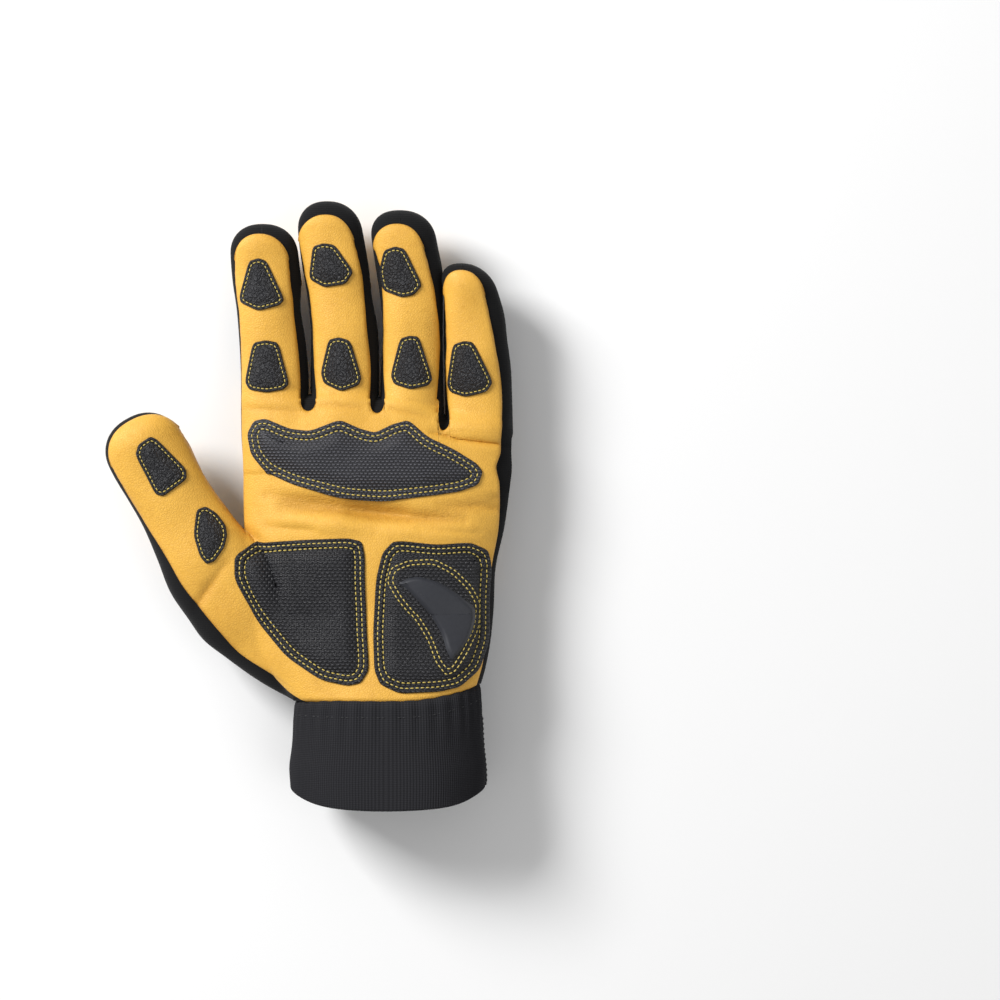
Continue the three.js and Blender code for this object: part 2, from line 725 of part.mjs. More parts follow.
// Three humps under the fingers, then the straighter lower edge
const ridgeRows = [
  { across: -0.929, along: 0.92 },
  { across: -0.881, along: 0.965 },
  { across: -0.801, along: 0.973 },
  { across: -0.622, along: 0.936 },
  { across: -0.471, along: 0.928 },
  { across: -0.26, along: 0.968 },
  { across: -0.11, along: 0.936 },
  { across: 0.0, along: 0.922 },
  { across: 0.13, along: 0.952 },
  { across: 0.24, along: 0.967 },
  { across: 0.381, along: 0.905 },
  { across: 0.58, along: 0.862 },
  { across: 0.729, along: 0.82 },
  { across: 0.697, along: 0.755 },
  { across: 0.41, along: 0.706 },
  { across: 0.085, along: 0.69 },
  { across: -0.244, along: 0.7 },
  { across: -0.614, along: 0.745 },
  { across: -0.877, along: 0.8 },
];
const thenarRows = [
  { across: -0.895, along: 0.53 },
  { across: -0.546, along: 0.548 },
  { across: -0.188, along: 0.556 },
  { across: -0.065, along: 0.52 },
  { across: -0.034, along: 0.42 },
  { across: -0.07, along: 0.24 },
  { across: -0.151, along: 0.1 },
  { across: -0.296, along: 0.052 },
  { across: -0.57, along: 0.07 },
  { across: -0.793, along: 0.155 },
  { across: -0.986, along: 0.3 },
  { across: -1.071, along: 0.42 },
  { across: -1.035, along: 0.5 },
];
const heelRows = [
  { across: 0.138, along: 0.52 },
  { across: 0.236, along: 0.548 },
  { across: 0.495, along: 0.536 },
  { across: 0.768, along: 0.542 },
  { across: 0.93, along: 0.49 },
  { across: 0.938, along: 0.37 },
  { across: 0.956, along: 0.21 },
  { across: 0.875, along: 0.1 },
  { across: 0.541, along: 0.042 },
  { across: 0.155, along: 0.034 },
  { across: -0.038, along: 0.075 },
  { across: 0.035, along: 0.24 },
  { across: 0.09, along: 0.42 },
];

function paddedPiece(rows, samples) {
  const outline = smoothOutline(rows.map(handPoint), samples);
  const border = padBase.intersect(prism(outline, palmHeight, HIGH));
  const field = padField.intersect(prism(insetOutline(outline, padBorder), palmHeight, HIGH));
  return border.add(field);
}

addPiece('palm_ridge_pad', paddedPiece(ridgeRows, 44), gripSheet);
addPiece('thenar_pad', paddedPiece(thenarRows, 32), gripSheet);
addPiece('hypothenar_pad', paddedPiece(heelRows, 32), gripSheet);

// Smooth rubber on the heel pad, a curved blade
const rubberRows = [
  { across: 0.227, along: 0.415 },
  { across: 0.391, along: 0.428 },
  { across: 0.555, along: 0.408 },
  { across: 0.813, along: 0.33 },
  { across: 0.8, along: 0.24 },
  { across: 0.641, along: 0.145 },
  { across: 0.568, along: 0.21 },
  { across: 0.456, along: 0.3 },
  { across: 0.291, along: 0.375 },
];
const rubberSeat = 2 * seamGap + padHeight + padFieldHeight;
const rubberSkin = handForm(rubberSeat + rubberHeight).subtract(handForm(rubberSeat));
const rubberOutline = smoothOutline(rubberRows.map(handPoint), 22);
addPiece('heel_rubber', rubberSkin.intersect(prism(rubberOutline, palmHeight, HIGH)), smoothRubber);

// Finger pads: a rounded trapezoid, narrow towards the tip. Shares of the pad's width and length.
const fingerPadRows = [
  { across: -0.24, along: 0.5 },
  { across: 0.24, along: 0.5 },
  { across: 0.5, along: -0.2 },
  { across: 0.42, along: -0.4 },
  { across: 0.02, along: -0.5 },
  { across: -0.44, along: -0.38 },
  { across: -0.48, along: -0.2 },
];
const fingerPadSkin = handForm(seamGap + fingerPadHeight).subtract(padSeat);

// placeAt gives the plane point for a distance along the finger or thumb and to its side
function fingerPad(name, placeAt, middleAlong, middleSide) {
  const points = fingerPadRows.map((row) => placeAt(
    middleAlong + row.along * fingerPadLength, middleSide + row.across * fingerPadWidth));
  const outline = smoothOutline(points, 16, 0.35);
  addPiece(name, fingerPadSkin.intersect(prism(outline, palmHeight, HIGH)), gripSheet);
}

// Pad middles on each finger, as shares of its width to the side and of its length from the web
const fingerPads = [
  { kind: 'tip_pad', finger: indexFinger, side: -0.038, along: 0.665 },
  { kind: 'tip_pad', finger: middleFinger, side: -0.023, along: 0.689 },
  { kind: 'tip_pad', finger: ringFinger, side: -0.075, along: 0.672 },
  { kind: 'mid_pad', finger: indexFinger, side: -0.053, along: 0.229 },
  { kind: 'mid_pad', finger: middleFinger, side: -0.023, along: 0.216 },
  { kind: 'mid_pad', finger: ringFinger, side: 0, along: 0.231 },
  { kind: 'mid_pad', finger: littleFinger, side: -0.09, along: 0.364 },
];
for (const { kind, finger, side, along } of fingerPads) {
  const place = (distance, across) => {
    const y = finger.webY + distance;
    return [fingerSection(finger, y).x + across, y];
  };
  fingerPad(`${kind}_${finger.name}`, place, along * finger.length, side * finger.width);
}
fingerPad('thumb_tip_pad', thumbPoint, 0.8 * thumbLength, 0.074 * thumbWidth);
fingerPad('thumb_lower_pad', thumbPoint, 0.505 * thumbLength, 0.19 * thumbWidth);

// Wrist strap: from the little finger side round the back of the cuff to a rounded tongue
const strapMiddleY = strapHem + strapWidth / 2 - cuffLength;
const strapTipX = cuffOffset + cuffWidth / 2 - strapTongueLength;
const roundingShare = 0.42;
const TONGUE_STEPS = 8;
function tongue(tipX, width, flare, farX) {
  const points = [[farX, strapMiddleY - width / 2], [farX, strapMiddleY + width / 2 + flare]];
  for (let step = 0; step <= TONGUE_STEPS; step += 1) {
    const turn = Math.PI / 2 + (Math.PI * step) / TONGUE_STEPS;
    const x = tipX + width * roundingShare * (1 + Math.cos(turn));
    points.push([x, strapMiddleY + (width / 2) * Math.sin(turn)]);
  }
  return points;
}
const strapSeat = cuffForm(seamGap, 2 * strapFlare);
const strapSkin = cuffForm(seamGap + strapThickness, strapFlare).subtract(strapSeat);
const strapOutline = tongue(strapTipX, strapWidth, strapFlare, cuffOffset + cuffWidth);
const strapHigh = cuffHeight - strapThickness;
addPiece('wrist_strap', strapSkin.intersect(prism(strapOutline, LOW, strapHigh)), elastic);

// Rubber tab on the strap, inside its margins
const tabSeat = cuffForm(2 * seamGap + strapThickness, 2 * strapFlare);
const tabSkin = cuffForm(2 * seamGap + strapThickness + tabThickness, strapFlare).subtract(tabSeat);
const tabTipX = strapTipX + tabEndMargin;
const tabOutline = tongue(tabTipX, strapWidth - 2 * tabMargin, 0, tabTipX + tabLength);
const tabHigh = strapHigh - tabMargin;
addPiece('strap_tab', tabSkin.intersect(prism(tabOutline, LOW, tabHigh)), smoothRubber);

// Stand the glove over its own middle, resting on the ground
const bounds = new THREE.Box3().setFromObject(glove);
const middle = bounds.getCenter(new THREE.Vector3());
glove.position.set(-middle.x, -middle.y, -bounds.min.z);

export default glove;
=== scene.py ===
from functools import partial

import bmesh
import bpy
import numpy as np
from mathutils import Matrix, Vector


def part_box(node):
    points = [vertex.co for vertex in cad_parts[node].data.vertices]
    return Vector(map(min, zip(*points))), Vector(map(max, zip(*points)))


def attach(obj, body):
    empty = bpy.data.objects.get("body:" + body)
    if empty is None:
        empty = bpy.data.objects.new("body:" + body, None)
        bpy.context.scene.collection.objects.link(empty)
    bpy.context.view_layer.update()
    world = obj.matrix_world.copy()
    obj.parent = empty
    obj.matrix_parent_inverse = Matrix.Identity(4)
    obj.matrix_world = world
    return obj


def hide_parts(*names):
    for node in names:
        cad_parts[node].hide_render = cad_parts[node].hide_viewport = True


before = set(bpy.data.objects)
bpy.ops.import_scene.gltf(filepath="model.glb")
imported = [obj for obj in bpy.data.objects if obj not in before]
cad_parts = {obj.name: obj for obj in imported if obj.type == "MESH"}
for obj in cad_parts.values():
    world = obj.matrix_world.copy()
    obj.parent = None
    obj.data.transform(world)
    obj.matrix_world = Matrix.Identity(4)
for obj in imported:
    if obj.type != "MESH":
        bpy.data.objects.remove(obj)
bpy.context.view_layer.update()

# Studio: a pale matt floor, a large soft lamp overhead to the upper left, a weaker one opposite and
# light grey surroundings. The camera looks straight down on the palm through a long lens, over the
# middle of a picture in which the glove fills the left half.
picture_width = 0.4
picture_middle = (0.0757, 0.0018)
glove_middle_height = 0.025
lens_length = 120
film_width = 36


def add_node(tree, kind, values=None, **settings):
    """A shader node with its settings, its inputs set to values or linked to other nodes' outputs."""
    new = tree.nodes.new(kind)
    for key, value in settings.items():
        setattr(new, key, value)
    for key, value in (values or {}).items():
        plug(tree, new.inputs[key], value)
    return new


def plug(tree, socket, value):
    """Set an input to a value, or link another node's output to it."""
    if isinstance(value, bpy.types.NodeSocket):
        tree.links.new(value, socket)
    else:
        socket.default_value = value


def object_place(tree):
    """The Object coordinates, in which every pattern is laid out."""
    return add_node(tree, "ShaderNodeTexCoord").outputs["Object"]


def noise(tree, place, scale, detail, distortion=0.0):
    """A Noise Texture's factor."""
    values = {"Vector": place, "Scale": scale, "Detail": detail, "Distortion": distortion}
    return add_node(tree, "ShaderNodeTexNoise", values).outputs["Fac"]


def new_material(name):
    """An empty node material with a Principled shader, and its node tree."""
    material = bpy.data.materials.new(name)
    material.use_nodes = True
    return material, material.node_tree


def finish_surface(material, tone, low, high, values, height=None, bump=0.0):
    """Colour between two by the tone, relief by the height, and the shader's other inputs."""
    tree = material.node_tree
    shader = tree.nodes["Principled BSDF"]
    tint = add_node(tree, "ShaderNodeMix", {"Factor": tone, "A": low, "B": high}, data_type="RGBA")
    plug(tree, shader.inputs["Base Color"], tint.outputs["Result"])
    if height is not None:
        relief = add_node(tree, "ShaderNodeBump", {"Height": height, "Distance": bump})
        plug(tree, shader.inputs["Normal"], relief.outputs[0])
    for label, value in values.items():
        plug(tree, shader.inputs[label], value)
    return material


def flecked_material(name, low, high, scale, detail, roughness, bump=None):
    """A plain material with fine flecks of a second tone, and maybe relief from the same noise."""
    material, tree = new_material(name)
    flecks = noise(tree, object_place(tree), scale, detail)
    height = None if bump is None else flecks
    return finish_surface(material, flecks, low, high, {"Roughness": roughness}, height, bump)


floor_material = flecked_material("studio_floor", (0.86, 0.86, 0.86, 1), (0.89, 0.89, 0.89, 1), 3.0, 3.0, 0.9)
floor_half = 4.0
floor_mesh = bpy.data.meshes.new("floor")
floor_mesh.from_pydata([(-floor_half, -floor_half, 0), (floor_half, -floor_half, 0),
                        (floor_half, floor_half, 0), (-floor_half, floor_half, 0)], [], [(0, 1, 2, 3)])
floor = bpy.data.objects.new("floor", floor_mesh)
floor.data.materials.append(floor_material)
bpy.context.collection.objects.link(floor)

world = bpy.data.worlds.new("studio")
world.use_nodes = True
world.node_tree.nodes["Background"].inputs["Color"].default_value = (1, 1, 1, 1)
world.node_tree.nodes["Background"].inputs["Strength"].default_value = 0.4
bpy.context.scene.world = world
bpy.context.scene.view_settings.view_transform = "Standard"

# Softboxes: place, size and power
for name, place, size, power in (("key", (-1.0, 0.8, 0.95), 0.6, 33), ("fill", (0.9, -0.5, 1.3), 1.2, 4)):
    lamp = bpy.data.lights.new(name, "AREA")
    lamp.shape = "SQUARE"
    lamp.size = size
    lamp.energy = power
    lamp_object = bpy.data.objects.new(name, lamp)
    lamp_object.location = place
    lamp_object.rotation_euler = (-Vector(place)).to_track_quat("-Z", "Y").to_euler()
    bpy.context.collection.objects.link(lamp_object)

camera_data = bpy.data.cameras.new("camera")
camera_data.lens = lens_length
camera_data.sensor_width = film_width
camera_data.sensor_fit = "HORIZONTAL"
camera = bpy.data.objects.new("camera", camera_data)
camera.location = (*picture_middle, glove_middle_height + picture_width * lens_length / film_width)
bpy.context.collection.objects.link(camera)
bpy.context.scene.camera = camera

# The knit hand: a stretch jersey back that wraps round the sides of the fingers and the outer edge of
# the thumb. It is cut and sewn to a stuffed hand's form, which every other piece follows too, so its
# sizes stand here: millimetres from the cuff seam (Y 0) and from the palm's middle line (X 0).
palm_length = 115.6
palm_thickness = 36
heel_width = 98
wrist_width = 75.6
web_thickness = 9
little_web_drop = 8.4
cuff_seam_rise = 7
cuff_length = 40.5
cuff_width = 75.6
cuff_thickness = 40
cuff_offset = 4.6
cuff_end_bow = 3.4
seam_gap = 0.3
finger_width = 26.6
finger_length = 84.2
finger_thickness = 22.8
finger_gap = 0.9
finger_dome = 0.45
knuckle_overhang = 0.9
thumb_width = 32.4
thumb_length = 112.4
thumb_thickness = 25
thumb_angle = np.radians(29.4)
rest_floor = 1.7
cuff_floor = 4.6
palm_height = rest_floor + 0.48 * palm_thickness
cuff_height = cuff_floor + 0.49 * cuff_thickness
finger_height = palm_height - 1.4
knit_color = (0.006, 0.006, 0.0065, 1)

# Fingers from the thumb side. lean and rise are shares of the finger's own length, and so is leather,
# which says how far up the palm leather reaches.
finger_parts = ("name", "width", "length", "thickness", "lean", "rise", "drop", "leather")
finger_table = [
    ("index", 1.0, 0.891, 0.98, -0.045, 0.073, 0, 0.941),
    ("middle", 1.0, 1.0, 1.0, -0.062, 0.053, 0, 0.929),
    ("ring", 0.985, 0.957, 0.98, -0.055, 0.062, 0, 0.926),
    ("little", 0.955, 0.803, 0.92, -0.083, 0.096, 1, 0.955),
]
# Outlines of each finger and of its leather from the web to the tip, in half widths from its axis
outline_columns = ("along", "left", "right", "seam_left", "seam_right")
finger_outlines = {
    "index": [
        (0.00, -1.09, 1.00, -1.03, 0.80), (0.20, -1.04, 1.05, -0.945, 0.80),
        (0.40, -1.04, 1.00, -0.925, 0.75), (0.55, -1.07, 0.91, -0.945, 0.70),
        (0.70, -1.15, 0.97, -1.00, 0.655), (0.83, -1.17, 0.93, -0.97, 0.62), (1.00, -1.12, 0.87, -0.95, 0.52),
    ],
    "middle": [
        (0.00, -1.05, 1.05, -0.80, 0.79), (0.20, -0.97, 1.15, -0.79, 0.88), (0.40, -0.89, 1.18, -0.76, 0.845),
        (0.55, -0.93, 1.07, -0.81, 0.836), (0.70, -1.03, 1.03, -0.93, 0.76), (0.83, -1.08, 0.94, -1.02, 0.61),
        (1.00, -1.05, 0.82, -0.80, 0.60),
    ],
    "ring": [
        (0.00, -1.03, 0.99, -0.81, 0.74), (0.20, -0.92, 1.03, -0.79, 0.87), (0.40, -0.80, 1.09, -0.72, 0.955),
        (0.55, -0.815, 1.15, -0.70, 0.915), (0.70, -0.90, 1.19, -0.71, 0.78),
        (0.83, -0.97, 1.08, -0.89, 0.62), (1.00, -1.05, 0.96, -0.84, 0.60),
    ],
    "little": [
        (0.00, -1.08, 1.11, -0.88, 0.73), (0.20, -1.01, 1.17, -0.89, 0.815), (0.40, -0.94, 1.21, -0.85, 0.80),
        (0.55, -0.89, 1.17, -0.77, 0.72), (0.70, -0.83, 1.14, -0.735, 0.63), (0.83, -0.79, 1.0, -0.73, 0.54),
        (1.00, -1.0, 0.76, -0.84, 0.50),
    ],
}
thick_columns = ("along", "thick")
finger_thickness_rows = [
    (-0.4, 0.9), (0.0, 1.08), (0.28, 0.95), (0.44, 0.99), (0.58, 0.94), (0.84, 0.9), (1.0, 0.9),
]

# Palm from the cuff seam to the web, as in the hand's form: width steps, sideways shift in cuff
# offsets, and how far it stands above and below its middle, in palm thicknesses
palm_columns = ("along", "wide", "shift", "above", "below")
palm_rows = [
    (0.0, 0, 1.0, 0.5, 0.5), (0.06, 0.28, 0.66, 0.49, 0.5), (0.165, 0.68, 0.1, 0.48, 0.5),
    (0.32, 1.0, -0.35, 0.47, 0.51), (0.46, 1.15, -0.5, 0.455, 0.52), (0.6, 1.34, -0.15, 0.44, 0.52),
    (0.71, 1.45, 0, 0.425, 0.52), (0.81, 1.52, 0.1, 0.42, 0.52), (0.91, 1.55, 0, 0.4, 0.5),
    (1.0, 1.57, 0, 0.33, 0.4),
]
palm_step_count = 1.57

# Thumb from inside the heel to its tip: outlines, the leather's outer seam and the thickness
thumb_columns = ("along", "left", "right", "seam", "thick")
thumb_rows = [
    (-0.17, 0.16, 0.9, 0.43, 0.62), (-0.06, -0.32, 1.1, 0.1, 0.8), (0.09, -0.82, 1.2, -0.41, 0.98),
    (0.184, -1.088, 1.3, -0.55, 1.06), (0.275, -1.156, 1.32, -0.66, 1.12), (0.382, -1.215, 1.25, -0.77, 1.15),
    (0.518, -1.084, 1.07, -0.78, 1.08), (0.645, -0.985, 0.98, -0.836, 0.99),
    (0.747, -0.983, 0.985, -0.845, 0.95), (0.84, -0.996, 1.02, -0.86, 0.95), (1.0, -0.90, 0.92, -0.78, 0.9),
]
thumb_start = -0.17
thumb_tube_end = 0.88
thumb_base = np.array([-0.451 * heel_width, 0.125 * palm_length])

# Creases and folds of the filled glove, from end to end in half widths and lengths of the palm, with
# their depth and width in millimetres; a negative depth is a swelling. A row holds across and along
# of one end, across and along of the other, depth and width.
folds = [
    (0.40, 0.925, 0.60, 0.901, 1.3, 1.2), (0.60, 0.901, 0.97, 0.882, 1.6, 1.3),
    (0.55, 0.945, 0.95, 0.93, -0.9, 3.0), (-0.66, 0.676, 0.20, 0.652, 2.7, 3.7),
    (-0.15, 0.645, 0.66, 0.622, 2.2, 3.2), (0.1, 0.59, 0.9, 0.585, -0.8, 3.6),
    (-0.80, 0.712, -0.30, 0.692, 0.8, 2.4), (-0.70, 0.615, -0.05, 0.600, -1.1, 3.4),
    (0.5, 0.67, 0.93, 0.672, 1.2, 2.6), (0.35, 0.592, 0.80, 0.578, 0.8, 1.4),
    (-0.80, 0.60, -0.45, 0.592, 0.9, 1.7), (-0.42, 1.02, -0.10, 1.01, 0.7, 1.6),
    (0.08, 1.012, 0.39, 0.972, 0.8, 1.5), (-0.95, 1.01, -0.59, 0.998, 0.5, 1.6),
    (-0.98, 0.59, -0.84, 0.545, 1.3, 2.2), (-1.24, 0.413, -1.42, 0.327, 1.1, 2.0),
    (-1.10, 0.49, -1.24, 0.413, 0.7, 2.0), (-0.81, 0.505, -0.73, 0.32, 1.5, 3.4),
    (-0.70, 0.50, -0.62, 0.34, -0.7, 3.2), (-0.90, 0.44, -0.86, 0.34, -0.7, 3.0),
    (0.74, 0.47, 0.90, 0.50, 0.9, 1.6), (0.80, 0.44, 0.93, 0.46, 0.8, 1.5),
    (0.86, 0.66, 0.97, 0.655, 0.4, 1.2), (0.84, 0.70, 0.97, 0.70, 0.4, 1.2),
]


def read(rows, columns, name, along):
    """A table column at many places: a cubic through its rows, held beyond its ends."""
    x, y = (np.array([row[columns.index(key)] for row in rows], float) for key in ("along", name))
    slope = np.gradient(y, x)
    k = np.clip(np.searchsorted(x, along) - 1, 0, len(x) - 2)
    step = x[k + 1] - x[k]
    t = np.clip((along - x[k]) / step, 0, 1)
    start = (1 + 2 * t) * (1 - t) ** 2 * y[k] + t * (1 - t) ** 2 * step * slope[k]
    return start + t ** 2 * (3 - 2 * t) * y[k + 1] + t ** 2 * (t - 1) * step * slope[k + 1]


def ease(value, low, high):
    """0 below low, 1 above high and a smooth step between."""
    t = np.clip((value - low) / (high - low), 0, 1)
    return t * t * (3 - 2 * t)


def round_off(share, power):
    """Height of a superellipse of radius 1 at a share of its half width."""
    return (1 - np.clip(np.abs(share), 0, 1) ** power) ** (1 / power)


def bent(value, power):
    """A sine or cosine bent so that the pair draws a superellipse of that power."""
    return np.sign(value) * np.abs(value) ** (2 / power)


def bell(value, middle, width):
    """1 at the middle, falling off to both sides as in a bell curve."""
    return np.exp(-((value - middle) / width) ** 2)


def quarter_round(gap, radius):
    """Height share of a rounded edge, 0 at the edge and 1 from a radius away."""
    return np.sqrt(1 - (1 - np.clip(gap / radius, 0, 1)) ** 2)


def unit(vectors, least=1e-6):
    """The vectors at length 1."""
    return vectors / np.maximum(np.linalg.norm(vectors, axis=-1, keepdims=True), least)


fingers = []
for row in finger_table:
    finger = dict(zip(finger_parts, row))
    finger["width"] *= finger_width
    finger["length"] *= finger_length
    finger["thickness"] *= finger_thickness
    finger["web"] = palm_length - finger["drop"] * little_web_drop
    finger["straight"] = finger["length"] - finger_dome * finger["width"]
    finger["outline"] = finger_outlines[finger["name"]]
    fingers.append(finger)
knuckle_width = sum(f["width"] for f in fingers) + finger_gap * 3 + 2 * knuckle_overhang
edge_x = -knuckle_width / 2 + knuckle_overhang
for finger in fingers:
    finger["x"] = edge_x + finger["width"] / 2
    edge_x += finger["width"] + finger_gap
index_finger, middle_finger, _, little_finger = fingers
tube_power = 2.35
palm_power = 2.7
dome_power = 2.3
tube_slope = 3
finger_fillet = 5
thumb_fillet = 9
thumb_lift = 1
thumb_rise = 9
lump_heights = (20, 26)


def finger_edges(finger, past, left="left", right="right"):
    """Middle and half width of a finger between two outline columns, past millimetres from its web."""
    share = past / finger["length"]
    low = read(finger["outline"], outline_columns, left, share)
    high = read(finger["outline"], outline_columns, right, share)
    half = finger["width"] / 2
    axis = finger["x"] + finger["lean"] * past
    return axis + half * (low + high) / 2, half * (high - low) / 2


def finger_body(finger, past):
    """Height and half thickness of a finger, and how far its dome has drawn its section in."""
    share = past / finger["length"]
    height = finger_height + finger["rise"] * finger["length"] * np.maximum(share, 0) ** 1.5
    thick = finger["thickness"] / 2 * read(finger_thickness_rows, thick_columns, "thick", share)
    into_dome = (past - finger["straight"]).clip(0) / (finger["length"] - finger["straight"])
    return height, thick, round_off(into_dome, dome_power)


def web_drop(x):
    """How far the web line lies below the middle fingers' towards the little finger."""
    start = middle_finger["x"]
    reach = little_finger["x"] - little_finger["width"] / 2 - start
    return little_web_drop * np.clip((x - start) / reach, 0, 1) ** 2


def palm_width(along):
    """Middle and half width of the palm at a share of its length."""
    wide = read(palm_rows, palm_columns, "wide", along)
    heel = (wrist_width + (heel_width - wrist_width) * np.minimum(wide, 1)) / 2
    knuckles = (knuckle_width - heel_width) / 2 * np.maximum(wide - 1, 0) / (palm_step_count - 1)
    return cuff_offset * read(palm_rows, palm_columns, "shift", along), heel + knuckles


def palm_warp(across, along, x):
    """How far a palm row bends: up at the cuff seam's outer end, down at the little finger's web."""
    wrist = np.clip(1 - along / 0.3, 0, 1)
    web = np.clip((along - 0.75) / 0.25, 0, 1)
    return cuff_seam_rise * np.clip(across, 0, 1) ** 2.5 * wrist - web_drop(x) * web


def palm_shares(x, y):
    """Across and along shares of plan points on the palm, by undoing its warp in three rounds."""
    along = y / palm_length
    for _ in range(3):
        middle, half = palm_width(along)
        across = (x - middle) / half
        along = (y - palm_warp(across, along, x)) / palm_length
    return across, along


def thumb_plan(distance, side):
    """Plan point at a distance along the thumb and to its side."""
    x = thumb_base[0] - distance * np.sin(thumb_angle) + side * np.cos(thumb_angle)
    y = thumb_base[1] + distance * np.cos(thumb_angle) + side * np.sin(thumb_angle)
    return x, y


def thumb_shares(x, y):
    """Share along the thumb, and distance to its side, of plan points."""
    from_base_x, from_base_y = x - thumb_base[0], y - thumb_base[1]
    share = (-from_base_x * np.sin(thumb_angle) + from_base_y * np.cos(thumb_angle)) / thumb_length
    return share, from_base_x * np.cos(thumb_angle) + from_base_y * np.sin(thumb_angle)


def thumb_edges(share, left="left"):
    """Middle and half width of the thumb at a share of its length."""
    low = read(thumb_rows, thumb_columns, left, share)
    high = read(thumb_rows, thumb_columns, "right", share)
    return thumb_width / 2 * (low + high) / 2, thumb_width / 2 * (high - low) / 2


def thumb_body(share):
    """Height, half thickness and drawn-in share of the thumb."""
    height = palm_height + thumb_lift + thumb_rise * np.maximum(share, 0) ** 1.5
    thick = thumb_thickness / 2 * read(thumb_rows, thumb_columns, "thick", share)
    return height, thick, round_off((share - thumb_tube_end).clip(0) / (1 - thumb_tube_end), dome_power)


def smooth_max(a, b, reach):
    """The larger of two heights, with a fillet where they come within reach of each other."""
    near = np.maximum(reach - np.abs(a - b), 0) / reach
    return np.maximum(a, b) + near ** 2 * reach / 4


def fold_depth(x, y):
    """Sum of the folds: a bell across each segment that fades out at its ends."""
    total = np.zeros_like(x)
    for fold in folds:
        across_a, along_a, across_b, along_b, depth, width = fold
        middle, half = palm_width(np.clip(np.array([along_a, along_b]), 0, 1))
        start = np.array([middle[0] + across_a * half[0], along_a * palm_length])
        end = np.array([middle[1] + across_b * half[1], along_b * palm_length])
        run = end - start
        t = ((x - start[0]) * run[0] + (y - start[1]) * run[1]) / (run @ run)
        t_near = np.clip(t, 0, 1)
        gap = np.hypot(x - start[0] - t_near * run[0], y - start[1] - t_near * run[1])
        fade = np.sin(np.pi * np.clip(0.08 + 0.84 * t_near, 0, 1)) ** 0.6
        total += depth * fade * bell(gap, 0, width)
    return total


def lumps(x, y):
    """Soft unevenness of a stuffed glove: a few crossing waves 17 to 40 mm long."""
    waves = [
        (0.16, 0.05, 0.4, 0.22), (-0.09, 0.21, 1.7, 0.2), (0.27, -0.14, 2.9, 0.12), (0.12, 0.33, 4.4, 0.1),
    ]
    return sum(size * np.sin(kx * x + ky * y + phase) for kx, ky, phase, size in waves)


def hand_height(x, y, side):
    """Height of the filled hand over plan points, on the palm side (1) or the back (-1): superellipse
    tubes of palm, fingers and thumb, joined by fillets, with the folds on the palm side."""
    across, along = palm_shares(x, y)
    _, half = palm_width(along)
    wrist = np.clip(1 - along / 0.3, 0, 1)
    past_web = np.clip((along - 1) * palm_length / web_thickness, 0, 1)
    reach = palm_thickness * read(palm_rows, palm_columns, "above" if side > 0 else "below", along)
    middle = palm_height + (cuff_height - palm_height) * wrist
    power = palm_power + (tube_power - palm_power) * wrist
    outside = (np.abs(across) - 1).clip(0) * half + (along - 1).clip(0) * palm_length * (past_web >= 1)
    palm = side * middle + reach * round_off(across, power) * round_off(past_web, 2) - tube_slope * outside
    tips = np.full_like(palm, -1e3)
    for finger in fingers:
        past = y - finger["web"]
        centre, half = finger_edges(finger, past)
        height, thick, drawn = finger_body(finger, past)
        share = (x - centre) / np.maximum(half * drawn, 1e-3)
        past_ends = (past - finger["length"]).clip(0) + (-past - 24).clip(0)
        outside = np.minimum((np.abs(share) - 1).clip(0) * half + past_ends, 30)
        top = side * height + thick * drawn * round_off(share, tube_power) - tube_slope * outside
        tips = np.maximum(tips, top)
    whole = smooth_max(palm, tips, finger_fillet)
    share, place = thumb_shares(x, y)
    centre, half = thumb_edges(share)
    height, thick, drawn = thumb_body(share)
    beside = (place - centre) / np.maximum(half * drawn, 1e-3)
    past_ends = ((share - 1).clip(0) + (thumb_start - share).clip(0)) * thumb_length
    outside = np.minimum((np.abs(beside) - 1).clip(0) * half + past_ends, 30)
    thumb = side * height + thick * drawn * round_off(beside, tube_power) - tube_slope * outside
    whole = smooth_max(whole, thumb, thumb_fillet)
    if side > 0:
        return whole - fold_depth(x, y) + lumps(x, y) * ease(whole, *lump_heights)
    ground = rest_floor + (cuff_floor - rest_floor) * wrist
    return np.maximum(-whole, ground)


def hand_surface(x, y, side):
    """Points of the hand's surface over plan points and its outward normals, from height differences."""
    step = 0.15
    slope_x = (hand_height(x + step, y, side) - hand_height(x - step, y, side)) / (2 * step)
    slope_y = (hand_height(x, y + step, side) - hand_height(x, y - step, side)) / (2 * step)
    points = np.stack([x, y, hand_height(x, y, side)], -1)
    return points, unit(np.stack([-side * slope_x, -side * slope_y, np.full_like(x, side)], -1))


def quads_between(index):
    """Quads between the neighbours in a grid of point numbers."""
    return np.stack([index[:-1, :-1], index[:-1, 1:], index[1:, 1:], index[1:, :-1]], -1).reshape(-1, 4)


def grid_faces(rows, columns, round_joined=False):
    """Quads of a grid of points, row by row; round_joined closes each row on itself."""
    index = np.arange(rows * columns).reshape(rows, columns)
    if round_joined:
        index = np.concatenate([index, index[:, :1]], 1)
    return quads_between(index)


def walled(outer, inner, round_joined=False, turned=False):
    """A closed wall between two grids of points; turned flips its faces."""
    faces = grid_faces(*outer.shape[:2], round_joined=round_joined)
    return closed_shell(outer.reshape(-1, 3), inner.reshape(-1, 3), faces[:, ::-1] if turned else faces)


def border_edges(faces):
    """Directed edges of the quads that no other quad shares."""
    edges = np.concatenate([faces[:, [k, (k + 1) % 4]] for k in range(4)])
    keys = np.sort(edges, 1)
    _, where, count = np.unique(keys, axis=0, return_inverse=True, return_counts=True)
    return edges[(count[where.ravel()] == 1) & (edges[:, 0] != edges[:, 1])]


